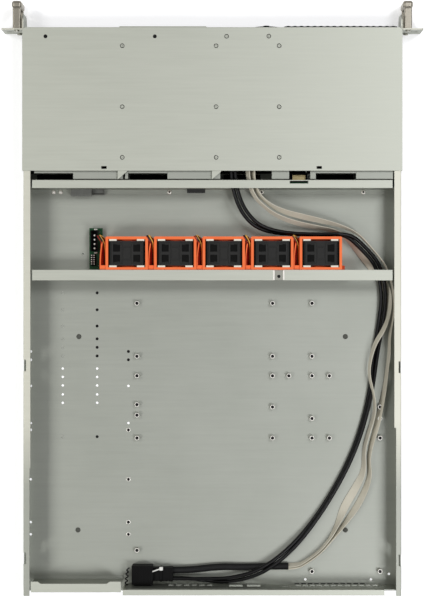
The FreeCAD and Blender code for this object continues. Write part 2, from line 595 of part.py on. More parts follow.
def backplane_brace():
    """Cross-member behind the drives: web, top flange with end lips, and a riveted foot."""
    y1 = BRACE_Y
    half = INNER_HALF - LAP_GAP
    web = block(-half, half, y1 - SHEET, y1, SHEET, BODY_HEIGHT - RAIL_LIP - LAP_GAP)
    neck = block(-FLANGE_HALF, FLANGE_HALF, y1 - SHEET, y1, SHEET, BODY_HEIGHT)
    flange = block(-FLANGE_HALF, FLANGE_HALF, y1 - BRACE_FLANGE, y1, SEAM, BODY_HEIGHT)
    lip = block(-FLANGE_HALF, FLANGE_HALF, y1 - BRACE_FLANGE, y1 - BRACE_FLANGE + SHEET,
                BODY_HEIGHT - FLANGE_LIP, BODY_HEIGHT)
    foot = block(-half, half, y1 - SHEET, y1 + BRACE_FOOT, SHEET, 2 * SHEET)
    bosses = [disc(x, y1 - SHEET - BOARD_BOSS, z, 3.0, BOARD_BOSS, REARWARD)
              for x, z in BOSS_SPOTS]
    brace = web.fuse([neck, flange, lip, foot] + bosses).removeSplitter()
    y0 = y1 - BRACE_FLANGE - 5
    cuts = [block(CABLE_NOTCH[0], CABLE_NOTCH[1], y1 - SHEET - 1, y1 + 1, STRIP_INSIDE, SEAM),
            block(-109.7, -88.5, y1 - 8.2, y1 - 5.2, SEAM - 1, BODY_HEIGHT + 1)]
    cuts += air_windows(y1 - SHEET - 1, y1 + 1)
    cuts += [block(x0 - 0.5, x1 + 0.5, y1 - SHEET - 1, y1 + 1, z0 - 0.5, z1 + 0.5)
             for x0, x1, z0, z1 in HEADER_WINDOWS]
    cuts += [disc(x, y1 + BRACE_FOOT / 2, 0, RIVET_R + HOLE_GAP, 3 * SHEET) for x in RIVETS_ON_BRACE]
    return brace.cut(cuts)


def backplane_board():
    """Printed circuit board that carries the drive connectors."""
    half = INNER_HALF - BOARD_EDGE
    board = block(-half, half, BACKPLANE_Y, BACKPLANE_Y + BOARD_SHEET, 3.0, STRIP_BASE)
    return board.cut(air_windows(BACKPLANE_Y - 1, BACKPLANE_Y + BOARD_SHEET + 1))


def drive_connectors():
    """One combined socket for each bay, with its tongue inside an open mouth."""
    made = []
    for i in range(1, BAYS + 1):
        x = tray_middle(i) + CONNECTOR_SHIFT
        x0 = x - CONNECTOR_LENGTH / 2
        x1 = x + CONNECTOR_LENGTH / 2
        y0 = BACKPLANE_Y - CONNECTOR_DEPTH
        z0 = 4.0
        z1 = z0 + CONNECTOR_HEIGHT
        shell = block(x0, x1, y0, BACKPLANE_Y, z0, z1)
        mouth = block(x0 + 3.5, x1 - 3.5, y0 - 1, BACKPLANE_Y - 2.5, z0 + 1.6, z1 - 1.6)
        tongue = block(x0 + 5.0, x1 - 5.0, y0 + 1.5, BACKPLANE_Y - 2.0, z0 + 3.4, z0 + 4.8)
        made.append(shell.cut(mouth).fuse(tongue).removeSplitter())
    return group(made)


def backplane_headers():
    """Power and signal headers that stand through the brace's windows."""
    made = []
    start = BACKPLANE_Y + BOARD_SHEET
    for (x0, x1, z0, z1), reach in zip(HEADER_WINDOWS, (7.7, 4.4)):
        end = BRACE_Y + reach
        header = block(x0, x1, start, end, z0, z1)
        count = 4 if reach > 5 else 5
        pitch = (x1 - x0 - 3.0) / count
        header = header.cut([block(x0 + 2.0 + pitch * i, x0 + 0.8 + pitch * (i + 1),
                                   end - 5.0, end + 1, z0 + 1.5, z1 - 1.5) for i in range(count)])
        made.append(header)
    return group(made)


def fan_x(index):
    return FAN_ROW_X + FAN_PITCH * (index - (FANS + 1) / 2)


SCREW_POCKET_X = -76.0
SCREW_POCKET_W = 13.0
CABLE_GAP_X = -170.0      # fan wall is cut back from here to the left wall


def fan_wall():
    """Cross-member behind the fans: air holes, a cable gap and a sunk screw pocket."""
    y0 = WALL_Y
    half = INNER_HALF - LAP_GAP
    y2 = y0 + WALL_FLANGE
    web = block(-half, half, y0, y0 + SHEET, SHEET, BODY_HEIGHT - RAIL_LIP - LAP_GAP)
    neck = block(-FLANGE_HALF, FLANGE_HALF, y0, y0 + SHEET, SHEET, BODY_HEIGHT)
    flange = block(-FLANGE_HALF, FLANGE_HALF, y0, y2, SEAM, BODY_HEIGHT)
    lip = block(-FLANGE_HALF, FLANGE_HALF, y2 - SHEET, y2, BODY_HEIGHT - FLANGE_LIP, BODY_HEIGHT)
    ends = [block(x, x + SHEET, y0, y2, BODY_HEIGHT - FLANGE_LIP, BODY_HEIGHT)
            for x in (-FLANGE_HALF, FLANGE_HALF - SHEET)]
    foot = block(-half, half, y0, y2 - 2.0, SHEET, 2 * SHEET)
    wall = web.fuse([neck, flange, lip, foot] + ends).removeSplitter()
    cuts = [disc(fan_x(i), y0 - 1, FAN_AXIS_Z, AIR_R, SHEET + 2, REARWARD)
            for i in range(1, FANS + 1)]
    cuts.append(block(-half - 1, CABLE_GAP_X, y0 - 1, y0 + SHEET + 0.01, 0, SEAM))
    cuts.append(block(-half - 1, CABLE_GAP_X, y0 - 1, y2 + 1, 0, 3 * SHEET))
    p0 = SCREW_POCKET_X - SCREW_POCKET_W / 2
    p1 = SCREW_POCKET_X + SCREW_POCKET_W / 2
    cuts.append(block(p0, p1, y0 - 1, y2 + 1, BODY_HEIGHT - 1.4, BODY_HEIGHT + 1))
    wall = wall.cut(cuts)
    tab = block(p0 - SHEET, p1 + SHEET, y0, y2, BODY_HEIGHT - 1.4 - SHEET, BODY_HEIGHT - 1.4)
    wall = wall.fuse(tab).removeSplitter()
    return wall.cut([disc(SCREW_POCKET_X, y0 + 7.5, SEAM - 3, 1.4, 6)])


def fan_holder(index):
    """Soft moulded holder: an open box with round air windows, a rear flange and a wire channel."""
    x = fan_x(index)
    half = HOLDER_WIDTH / 2
    y0 = HOLDER_Y
    y1 = WALL_Y
    top = SHEET + HOLDER_HEIGHT
    box = block(x - half, x + half, y0, y1, SHEET, top)
    box = box.makeFillet(1.5, [e for e in upright_edges(box, UP, HOLDER_HEIGHT)
                               if e.Vertexes[0].Y < y0 + 1])
    well = block(x - half + HOLDER_WALL, x + half - HOLDER_WALL, y0 + HOLDER_WALL,
                 y1 - HOLDER_WALL, FAN_BASE, top + 1)
    boss = block(x + half - 0.1, x + half + 5.0, y0 + 1.0, y0 + 8.0, SHEET + 2.0, SHEET + 9.0)
    wing = block(x + half - 0.1, x + half + CHANNEL, y1 - 5.2, y1, 14.0, top - 2.0)
    tab = block(x - half - 4.6, x - half + 0.1, y1 - 5.2, y1, SHEET, 12.5)
    outer = [V(x + half + CHANNEL, y1 - 5.0, 0), V(x + half + CHANNEL - 0.4, y1 - 18.0, 0),
             V(x + half + CHANNEL - 2.6, y0 + 5.0, 0)]
    inner = [p - V(CHANNEL_WALL, 0, 0) for p in outer]
    rim = Part.Wire([Part.Arc(*outer).toShape(), Part.makeLine(outer[2], inner[2]),
                     Part.Arc(*reversed(inner)).toShape(), Part.makeLine(inner[0], outer[0])])
    channel = Part.Face(rim).extrude(UP * (top - 2.0 - 14.0))
    channel.translate(V(0, 0, 14.0))
    holder = box.cut(well).fuse([boss, wing, tab, channel]).removeSplitter()
    window = disc(x, y0 - 1, FAN_AXIS_Z, FAN_BORE_R - 0.4, HOLDER_DEPTH + 2, REARWARD)
    return holder.cut(window)


def fan_pads():
    """White pads at the upper corners, between each fan and its holder."""
    made = []
    depth = (HOLDER_DEPTH - FAN_DEPTH) / 2 - HOLDER_WALL
    top = SHEET + HOLDER_HEIGHT
    for i in range(1, FANS + 1):
        for side in (-1, 1):
            x = fan_x(i) + side * (FAN_SIZE / 2 - 4.2)
            for y in (FAN_Y - depth, FAN_Y + FAN_DEPTH):
                made.append(block(x - 4.2, x + 4.2, y, y + depth, top - 6.0, top))
    return group(made)


def fan_housing(index):
    """Square fan frame: round duct, corner pockets between its flanges, struts and motor seat."""
    x = fan_x(index)
    half = FAN_SIZE / 2
    z = FAN_AXIS_Z
    y0 = FAN_Y
    y1 = FAN_Y + FAN_DEPTH
    frame = block(x - half, x + half, y0, y1, z - half, z + half)
    frame = frame.makeFillet(2.0, upright_edges(frame, REARWARD, FAN_DEPTH))
    cuts = [disc(x, y0 - 1, z, FAN_BORE_R, FAN_DEPTH + 2, REARWARD)]
    pocket_y = ((y0 + FAN_FLANGE, y0 + FAN_DEPTH / 2 - 1.4),
                (y0 + FAN_DEPTH / 2 + 1.4, y1 - FAN_FLANGE))
    for side in (-1, 1):
        for low, high in pocket_y:
            for s in (-1, 1):
                a, b = sorted((s * 11.6, s * 17.4))
                c, d = sorted((side * (half - 2.2), side * (half + 1)))
                cuts.append(block(x + a, x + b, low, high, z + c, z + d))
                cuts.append(block(x + c, x + d, low, high, z + a, z + b))
    cuts += [disc(x + sx * 16.0, y0 - 1, z + sz * 16.0, 1.6, FAN_DEPTH + 2, REARWARD)
             for sx in (-1, 1) for sz in (-1, 1)]
    frame = frame.cut(cuts)
    seat = disc(x, y1 - FAN_FLANGE, z, HUB_R + 0.6, FAN_FLANGE, REARWARD)
    strut = block(x - 1.0, x + 1.0, y1 - FAN_FLANGE, y1, z + HUB_R, z + FAN_BORE_R + 0.6)
    struts = []
    for i in range(4):
        bar = strut.copy()
        bar.rotate(V(x, 0, z), REARWARD, 45 + 90 * i)
        struts.append(bar)
    block_top = block(x - 5.8, x + 5.8, y0 + 6.0, y1 - 6.0, z + half - 0.5, z + half + 0.4)
    made = frame.fuse([seat, block_top] + struts).removeSplitter()
    return made.cut(disc(x, y1 - FAN_FLANGE - 1, z, SHAFT_R + SHAFT_GAP, FAN_FLANGE, REARWARD))


def fan_blade():
    """One twisted blade of a fan, lofted from root to tip and trimmed to the duct."""
    sections = []
    depth = HUB_LENGTH - 3.0
    for r, angle in ((HUB_R - 1.5, 26.0), (BLADE_R + 2.0, 48.0)):
        lean = math.radians(angle)
        reach = depth / 2
        side = reach * math.tan(lean)
        ends = [V(-side, -reach, r), V(side, reach, r)]
        across = V(math.cos(lean), -math.sin(lean), 0) * 0.45
        corners = [ends[0] - across, ends[1] - across, ends[1] + across, ends[0] + across]
        sections.append(Part.makePolygon(corners + corners[:1]))
    blade = Part.makeLoft(sections, True, True)
    return blade.common(disc(0, -depth, 0, BLADE_R, 2 * depth, REARWARD))


def fan_rotor():
    """Impeller on its shaft, about the origin, with its front face at Y = 0."""
    hub = disc(0, 1.5, 0, HUB_R, HUB_LENGTH, REARWARD)
    hub = hub.makeFillet(1.5, [e for e in hub.Edges if e.Closed and e.CenterOfMass.y < 2])
    shaft = disc(0, HUB_LENGTH, 0, SHAFT_R, FAN_DEPTH - HUB_LENGTH - 1.6, REARWARD)
    blade = fan_blade()
    blade.translate(V(0, 1.5 + HUB_LENGTH / 2, 0))
    blades = []
    for i in range(BLADES):
        copy = blade.copy()
        copy.rotate(V(0, 0, 0), REARWARD, 360.0 * i / BLADES)
        blades.append(copy)
    return hub.fuse([shaft] + blades).removeSplitter()


def fan_leads():
    """Lead of each fan, which lies in its holder's channel and drops to the socket at the front."""
    made = []
    for i in range(1, FANS + 1):
        x = fan_x(i) + HOLDER_WIDTH / 2
        y = HOLDER_Y + 4.4
        route = [(x + 2.2, WALL_Y - 5.2, 33.8), (x + 2.2, WALL_Y - 16.0, 33.8),
                 (x + 1.8, WALL_Y - 26.5, 29.0), (x + 1.6, y, 20.0), (x + 1.6, y, SHEET + 9.0)]
        made.append(tube(route, LEAD_R, "fan lead"))
    return group(made)


FAN_BOARD = (127.6, 143.0, 228.6, 276.2)


def fan_board():
    """Small printed circuit board beside the first fan."""
    x0, x1, d0, d1 = FAN_BOARD
    board = block(x0, x1, FRONT_Y + d0, FRONT_Y + d1, BOARD_Z, BOARD_Z + BOARD_SHEET)
    return board.cut([disc(x, y, BOARD_Z - 1, STANDOFF_HOLE_R, 4) for x, y in fan_board_spots()])


def fan_board_spots():
    x0, x1, d0, d1 = FAN_BOARD
    return [(x0 + 4.0, FRONT_Y + d0 + 4.0), (x0 + 4.0, FRONT_Y + d1 - 4.0)]


def fan_board_connectors():
    """Open four-pin power header and a double-row pin header."""
    x0, x1, d0, d1 = FAN_BOARD
    z = BOARD_Z + BOARD_SHEET
    y0 = FRONT_Y + d0 + 3.4
    shell = block(x1 - 9.2, x1 - 2.4, y0, y0 + 23.2, z, z + 9.0)
    shell = shell.cut(block(x1 - 8.0, x1 - 3.6, y0 + 1.4, y0 + 21.8, z + 2.0, z + 10.0))
    pins = [disc(x1 - 5.8, y0 + 4.0 + 5.08 * i, z + 1.0, 1.0, 8.4) for i in range(4)]
    base = block(x1 - 7.4, x1 - 1.2, y0 + 26.0, y0 + 39.0, z, z + 2.5)
    posts = [block(x1 - dx - 0.32, x1 - dx + 0.32, y - 0.32, y + 0.32, z + 2.0, z + 8.5)
             for dx in (5.6, 3.0) for y in [y0 + 27.4 + 2.54 * i for i in range(5)]]
    return group([shell.fuse(pins).removeSplitter(), base.fuse(posts).removeSplitter()])


def standoff_spots():
    """Standoffs of the main board and of the fan board."""
    near = BOARD_ROW
    front = near - 156.4
    second = BOARD_COLUMN - 157.4
    third = second - 45.8
    fourth = third - 20.2
    last = fourth - 58.9
    columns = {
        BOARD_COLUMN: (front, near - 94.9, near - 72.2, near - 38.8, near - 26.5, near,
                       REAR_Y - BOARD_LAST_ROW),
        second: (front, near - 94.9, near - 72.2, near - 36.0, near),
        second - 19.0: (near - 72.2,),
        third: (front, near - 94.9, near - 72.2, near - 22.7, near, REAR_Y - TIE_ROW),
        fourth: (near - 72.2, near),
        last: (near - 36.0, near - 22.7, near, REAR_Y - TIE_ROW),
    }
    spots = [(x, y) for x, rows in columns.items() for y in rows]
    return spots + fan_board_spots()


def board_standoffs():
    """Threaded hexagon standoffs pressed into the floor."""
    made = []
    for x, y in standoff_spots():
        corners = [(STANDOFF_R * math.cos(math.pi / 3 * i), STANDOFF_R * math.sin(math.pi / 3 * i), 0)
                   for i in range(6)]
        post = plate(corners, V(x, y, SHEET), UP * STANDOFF_HEIGHT)
        made.append(post.cut(disc(x, y, 0, STANDOFF_HOLE_R, 10)))
    return group(made)


def rear_panel():
    """Rear wall behind the boards, with openings for the port shield and the card slot."""
    y0 = REAR_WEB_Y
    y1 = y0 + REAR_FLANGE - 0.8
    left = -INNER_HALF + LAP_GAP
    right = PSU_LEFT - 2.0
    web = block(left, right, y0, y0 + SHEET, SHEET, BODY_HEIGHT - RAIL_LIP - LAP_GAP)
    open_end = left + REAR_OPEN_END
    neck = block(open_end, right, y0, y0 + SHEET, SHEET, BODY_HEIGHT)
    flange = block(open_end, right, y0, y1, SEAM, BODY_HEIGHT)
    foot = block(left, right, y0, y1, SHEET, 2 * SHEET)
    x0, x1, z0, z1 = shield_window()
    s0, s1, t0, t1 = slot_window()
    panel = web.fuse([neck, flange, foot]).removeSplitter()
    end = block(right - SHEET, right, y0, y1, SHEET, BODY_HEIGHT)
    panel = panel.fuse(end).removeSplitter()
    return panel.cut([block(x0, x1, y0 - 1, y0 + SHEET + 1, z0, z1),
                      block(s0, s1, y0 - 1, y0 + SHEET + 1, t0, t1)])


def shield_window():
    x1 = PSU_LEFT - 8.0
    z0 = 2 * SHEET + 0.6
    return x1 - SHIELD_WIDTH, x1, z0, z0 + SHIELD_HEIGHT


def slot_window():
    x1 = shield_window()[0] - 30.0
    z0 = 2 * SHEET + 2.0
    return x1 - SLOT_WIDTH, x1, z0, z0 + SLOT_HEIGHT


def io_shield():
    """Thin pressed plate in the port opening, with two windows and a row of slots."""
    x0, x1, z0, z1 = shield_window()
    y = REAR_WEB_Y - SHIELD_SHEET
    face = block(x0 - 1.5, x1 + 1.5, y, y + SHIELD_SHEET, z0 - 0.6, z1 + 0.8)
    rim = block(x0 + LAP_GAP, x1 - LAP_GAP, y, y + 2.2, z0 + LAP_GAP, z1 - LAP_GAP)
    hollow = block(x0 + 0.8, x1 - 0.8, y + SHIELD_SHEET, y + 4, z0 + 0.8, z1 - 0.8)
    shield = face.fuse(rim.cut(hollow)).removeSplitter()
    cuts = [block(x, x + 15.6, y - 1, y + 3, z0 + 4.0, z0 + 18.0) for x in (-55.4, -34.7)]
    cuts += [block(x, x + 6.4, y - 1, y + 3, z, z + 3.4)
             for x in [0.0 + 9.0 * i for i in range(6)] for z in (z0 + 3.0, z0 + 9.0)]
    return shield.cut(cuts)


def slot_cover():
    """Blank of the card slot, with a row of square air holes and a folded screw tab."""
    x0, x1, z0, z1 = slot_window()
    y = REAR_WEB_Y - 0.8
    face = block(x0 - 2.0, x1 + 2.0, y, y + 0.8, z0 - 1.0, z1 + 2.0)
    tab = block(x1 + 2.0, x1 + 12.0, y, y + 0.8, z0 + 3.0, z1 - 3.0)
    cover = face.fuse(tab).removeSplitter()
    cuts = [block(x, x + 6.2, y - 1, y + 2, z0 + 4.5, z1 - 4.5)
            for x in [x0 + 4.0 + 8.1 * i for i in range(12)]]
    return cover.cut(cuts + [disc(x1 + 7.0, y - 1, (z0 + z1) / 2, 1.6, 3, REARWARD)])


def psu_bay_blank():
    """Plate that closes the power supply bay: web, foot, top flange and mitred end tabs."""
    x0 = PSU_LEFT
    x1 = HALF - RAIL_WIDTH - 0.5
    y0 = PSU_WEB_Y
    y1 = y0 + PSU_FLANGE
    web = block(x0, x1, y0, y0 + SHEET, SHEET, BODY_HEIGHT)
    flange = block(x0, x1, y0, y1, SEAM, BODY_HEIGHT)
    foot = block(x0, x1, y0 - 3.6, y0 + SHEET, SHEET, 2 * SHEET)
    ears = [plate([(a, y0, SEAM), (a, y0 - 2.4, SEAM), (b, y0 - 2.4, SEAM), (c, y0, SEAM)],
                  V(0, 0, 0), UP * SHEET)
            for a, b, c in ((x0, x0 + 13.0, x0 + 16.0), (x1, x1 - 8.0, x1 - 11.0))]
    blank = web.fuse([flange, foot] + ears).removeSplitter()
    edges = upright_edges(blank, ACROSS, x1 - x0)
    outer = [e for e in edges if e.Vertexes[0].Y > y1 - 0.01 and e.Vertexes[0].Z > SEAM + 0.5]
    return blank.makeFillet(SHEET * 0.6, outer)


# Cables: points chosen by hand along each route, from the control module to the plug.
CABLE_A = ((-21.1, -295.5, 35.5), (-21.1, -262.0, 35.5), (-22.2, -216.0, 35.2), (-20.6, -172.0, 35.2),
           (-21.7, -133.6, 34.6), (-32.3, -99.9, 30.0), (-61.1, -81.0, 24.0), (-101.9, -77.4, 20.5),
           (-141.3, -78.0, 18.5), (-168.4, -60.6, 15.0), (-189.2, -38.3, 11.5), (-196.9, -4.9, 9.0),
           (-192.5, 30.6, 5.2), (-186.5, 65.7, 4.8), (-183.5, 100.6, 4.8), (-175.6, 137.2, 4.8),
           (-158.7, 176.9, 4.8), (-137.8, 217.7, 4.8), (-112.9, 257.5, 6.0), (-87.2, 290.2, 11.5),
           (-54.4, 315.6, 14.0), (-20.0, 324.6, 13.8), (14.0, 325.2, 13.4), (30.0, 324.9, 13.0),
           (46.0, 324.9, 13.0))
CABLE_B = ((-26.2, -295.5, 35.5), (-26.2, -262.0, 35.5), (-27.4, -216.0, 35.2), (-25.8, -172.0, 35.2),
           (-26.7, -134.4, 34.6), (-36.7, -103.1, 30.0), (-62.9, -86.0, 24.0), (-102.1, -82.6, 20.5),
           (-142.7, -83.2, 18.5), (-171.6, -64.6, 15.0), (-193.8, -40.7, 11.5), (-202.1, -5.1, 9.0),
           (-197.5, 31.4, 5.2), (-191.5, 66.3, 4.8), (-188.5, 101.4, 4.8), (-180.4, 138.8, 4.8),
           (-163.3, 179.1, 4.8), (-142.2, 220.3, 4.8), (-117.1, 260.5, 6.0), (-90.8, 293.8, 11.5),
           (-57.6, 319.6, 14.0), (-20.0, 329.9, 10.6), (14.0, 327.2, 8.4), (30.0, 324.9, 7.8),
           (46.0, 324.9, 7.8))
RIBBON_A = ((-43.0, -295.5, 35.5), (-43.0, -262.0, 35.5), (-42.0, -216.0, 36.0), (-43.4, -172.0, 36.0),
            (-43.6, -137.0, 36.0), (-54.0, -113.0, 33.0), (-82.0, -98.0, 24.5), (-114.0, -91.5, 16.5),
            (-146.0, -78.0, 10.5), (-171.0, -53.0, 9.0), (-189.0, -28.0, 4.6), (-203.5, -3.0, 4.0),
            (-207.0, 18.0, 8.5), (-199.0, 38.0, 14.0), (-187.0, 56.0, 14.0), (-182.5, 82.0, 11.4),
            (-184.5, 112.0, 10.2), (-184.6, 142.0, 10.0), (-174.5, 170.0, 9.0), (-172.0, 200.0, 8.0),
            (-157.5, 230.0, 7.4), (-147.5, 258.0, 7.2), (-131.0, 286.0, 8.0), (-115.0, 303.5, 7.8),
            (-101.0, 311.5, 7.6), (-88.0, 311.5, 7.6))
RIBBON_B = ((-52.2, -295.5, 35.5), (-52.2, -262.0, 35.5), (-51.2, -216.0, 36.0), (-52.6, -172.0, 36.0),
            (-52.6, -140.0, 36.0), (-61.0, -120.0, 34.5), (-87.0, -104.0, 30.0), (-119.0, -95.5, 25.0),
            (-150.0, -87.0, 18.0), (-176.0, -69.0, 14.0), (-200.0, -43.0, 11.0), (-210.5, -6.0, 11.0),
            (-211.0, 30.0, 14.0), (-206.0, 64.0, 11.5), (-202.0, 98.0, 10.0), (-195.5, 130.0, 9.0),
            (-188.0, 160.0, 8.5), (-181.0, 186.0, 8.0), (-180.5, 212.0, 7.5), (-167.0, 238.0, 7.0),
            (-158.0, 264.0, 6.6), (-141.0, 289.0, 5.4), (-122.0, 305.5, 4.2), (-104.0, 311.5, 3.6),
            (-88.0, 311.5, 3.6))
SLEEVE = ((-88.0, 311.5, 5.6), (-66.0, 311.5, 5.6), (-38.0, 312.6, 6.0), (-8.0, 311.8, 6.8),
          (14.0, 314.2, 7.6), (30.0, 315.6, 8.0), (46.0, 315.6, 8.0))


def tube(route, r, label):
    """Round cable: straight runs joined by arcs that are as large as the runs allow."""
    points = [V(*p) for p in route]
    edges = []
    radii = []
    start = points[0]
    for before, corner, after in zip(points, points[1:], points[2:]):
        into = corner - before
        out = after - corner
        reach = 0.45 * min(into.Length, out.Length)
        turn = into.getAngle(out)
        into.normalize()
        out.normalize()
        radius = reach / math.tan(turn / 2)
        radii.append(radius)
        first = corner - into * reach
        last = corner + out * reach
        inward = out - into
        inward.normalize()
        centre = corner + inward * (radius / math.cos(turn / 2))
        away = corner - centre
        away.normalize()
        edges.append(Part.makeLine(start, first))
        edges.append(Part.Arc(first, centre + away * radius, last).toShape())
        start = last
    edges.append(Part.makeLine(start, points[-1]))
    path = Part.Wire(edges)
    ring = Part.Wire(Part.Circle(points[0], points[1] - points[0], r).toShape())
    solid = path.makePipeShell([ring], True, False)
    share = solid.Volume / (math.pi * r * r * path.Length)
    print(label, "length", round(path.Length, 1), "least radius", round(min(radii), 1),
          "volume share", round(share, 4))
    return solid


def harness_plug():
    """Block connector at the end of the cables, with its boot."""
    x0 = 46.0
    x1 = x0 + BOOT_LENGTH
    y0 = 309.2
    shell = block(x1, x1 + PLUG_LENGTH, y0, y0 + PLUG_WIDTH, SHEET, SHEET + PLUG_HEIGHT)
    shell = shell.makeFillet(1.2, upright_edges(shell, UP, PLUG_HEIGHT))
    ribs = [block(x1 + 3.0 + 4.0 * i, x1 + 4.6 + 4.0 * i, y0 + 1.5, y0 + PLUG_WIDTH - 1.5,
                  SHEET + PLUG_HEIGHT - 0.5, SHEET + PLUG_HEIGHT + 0.6) for i in range(5)]
    near = [V(x0, y0 + 2.2, 3.0), V(x0, y0 + 18.6, 3.0), V(x0, y0 + 18.6, 16.0), V(x0, y0 + 2.2, 16.0)]
    far = [V(x1 + 1, y0 + 3.0, 3.6), V(x1 + 1, y0 + 18.0, 3.6), V(x1 + 1, y0 + 18.0, 15.0),
           V(x1 + 1, y0 + 3.0, 15.0)]
    boot = Part.makeLoft([Part.makePolygon(near + near[:1]), Part.makePolygon(far + far[:1])], True)
    return shell.fuse(ribs + [boot]).removeSplitter()


def save(name, shape):
    """Write one node, after a check that its solids are sound."""
    for solid in shape.Solids:
        if not solid.isValid() or solid.Volume <= 0:
            raise ValueError(name + " is not a sound solid")
    print(name, "solids", len(shape.Solids), "volume", round(shape.Volume, 1))
    shape.exportStep("parts/" + name + ".step")


os.makedirs("parts", exist_ok=True)

save("base_tray", base_tray())
save("rear_panel", rear_panel())
save("io_shield", io_shield())
save("slot_cover", slot_cover())
save("psu_bay_blank", psu_bay_blank())
save("front_cover", front_cover())
save("front_panel", front_panel())
save("media_shelf", media_shelf())
save("media_bay_bezel", media_bay_bezel())
save("control_panel", control_panel())
save("power_button", push_button(BUTTON_X, 3.6, 2.4))
save("reset_button", push_button(RESET_X, 1.6, 0.6))
right_ear = ear_bracket()
save("ear_right", right_ear)
save("ear_left", mirrored(right_ear))
right_handle = handle()
save("handle_right", right_handle)
save("handle_left", mirrored(right_handle))
for number in range(1, BAYS):
    save("bay_divider_" + str(number), bay_divider(number))
for number in range(1, BAYS + 1):
    save("drive_tray_" + str(number), drive_tray(number))
    save("tray_lever_" + str(number), tray_lever(number))
save("backplane_brace", backplane_brace())
save("backplane_board", backplane_board())
save("drive_connectors", drive_connectors())
save("backplane_headers", backplane_headers())
save("fan_wall", fan_wall())
impeller = fan_rotor()
for number in range(1, FANS + 1):
    save("fan_holder_" + str(number), fan_holder(number))
    save("fan_housing_" + str(number), fan_housing(number))
    spinner = impeller.copy()
    spinner.translate(V(fan_x(number), FAN_Y, FAN_AXIS_Z))
    save("fan_rotor_" + str(number), spinner)
save("fan_pads", fan_pads())
save("fan_leads", fan_leads())
save("fan_board", fan_board())
save("fan_board_connectors", fan_board_connectors())
save("board_standoffs", board_standoffs())
save("cable_black_a", tube(CABLE_A, CABLE_R, "cable_black_a"))
save("cable_black_b", tube(CABLE_B, CABLE_R, "cable_black_b"))
save("ribbon_a", tube(RIBBON_A, RIBBON_R, "ribbon_a"))
save("ribbon_b", tube(RIBBON_B, RIBBON_R, "ribbon_b"))
save("cable_sleeve", tube(SLEEVE, SLEEVE_R, "cable_sleeve"))
save("harness_plug", harness_plug())
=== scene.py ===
import math

import bmesh
import bpy
from mathutils import Matrix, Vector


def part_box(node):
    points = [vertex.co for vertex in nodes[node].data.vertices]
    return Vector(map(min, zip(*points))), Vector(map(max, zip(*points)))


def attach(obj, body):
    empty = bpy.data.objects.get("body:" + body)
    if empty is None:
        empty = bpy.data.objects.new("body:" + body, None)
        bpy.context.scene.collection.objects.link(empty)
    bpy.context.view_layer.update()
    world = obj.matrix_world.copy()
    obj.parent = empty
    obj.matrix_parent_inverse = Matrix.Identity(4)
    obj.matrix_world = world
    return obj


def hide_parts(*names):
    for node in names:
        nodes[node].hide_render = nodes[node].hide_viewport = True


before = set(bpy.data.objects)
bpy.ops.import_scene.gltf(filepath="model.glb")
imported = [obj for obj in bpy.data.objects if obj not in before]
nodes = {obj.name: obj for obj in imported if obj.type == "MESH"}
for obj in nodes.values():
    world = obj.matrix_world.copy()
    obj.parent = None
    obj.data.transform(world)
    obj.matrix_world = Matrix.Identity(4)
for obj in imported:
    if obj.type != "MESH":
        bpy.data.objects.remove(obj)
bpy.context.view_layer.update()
scene = bpy.context.scene


# ---- Camera. It hangs over the open case and looks straight down, with the handles at the
# top of the view and the rear wall at the bottom. The lens is long, so walls lean only a little.
# Left and right in this file are the case's own, for someone who faces its front.
cover_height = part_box("front_cover")[1][2]
camera_above_cover = 2.238
camera_data = bpy.data.cameras.new("camera")
camera_data.lens = 117.75
camera_data.sensor_width = 36.0
camera_data.shift_x = -0.0326
camera_data.shift_y = -0.0151
camera_data.clip_end = 20.0
camera = bpy.data.objects.new("camera", camera_data)
camera.location = (-0.0225, -0.0087, cover_height + camera_above_cover)
camera.rotation_euler = (0.0, 0.0, math.pi)
scene.collection.objects.link(camera)
scene.camera = camera


# ---- Black cable pair. Two soft PVC cables run from the control module through the notch of the
# brace, round the fans and along the left wall to the plug. PVC is smooth and slightly glossy.
def linear(colour):
    """sRGB hex colour as linear red, green, blue and alpha."""
    parts = [int(colour[i:i + 2], 16) / 255 for i in (1, 3, 5)]
    return tuple(c / 12.92 if c < 0.04045 else ((c + 0.055) / 1.055) ** 2.4 for c in parts) + (1.0,)


def material_named(name):
    """Empty node material."""
    made = bpy.data.materials.new(name)
    made.use_nodes = True
    made.node_tree.nodes.clear()
    return made


def add(material, kind, values=None, **settings):
    """Adds a node with its settings; a value that is another node's output is linked."""
    node = material.node_tree.nodes.new("ShaderNode" + kind)
    for name, value in settings.items():
        setattr(node, name, value)
    for socket, value in (values or {}).items():
        if isinstance(value, bpy.types.NodeSocket):
            material.node_tree.links.new(value, node.inputs[socket])
        else:
            node.inputs[socket].default_value = value
    return node


def route_curve(name, route, radius=0.0):
    """Open smooth curve whose control points are the cable's route. Tilts are in degrees."""
    data = bpy.data.curves.new(name, "CURVE")
    data.dimensions = "3D"
    data.twist_mode = "Z_UP"
    data.resolution_u = 8
    data.bevel_depth = radius
    data.bevel_resolution = 4
    data.use_fill_caps = True
    spline = data.splines.new("NURBS")
    spline.points.add(len(route) - 1)
    for point, place in zip(spline.points, route):
        point.co = (*place[:3], 1.0)
        point.tilt = math.radians(place[3]) if len(place) > 3 else 0.0
    spline.order_u = 3
    spline.use_endpoint_u = True
    made = bpy.data.objects.new(name, data)
    scene.collection.objects.link(made)
    return made


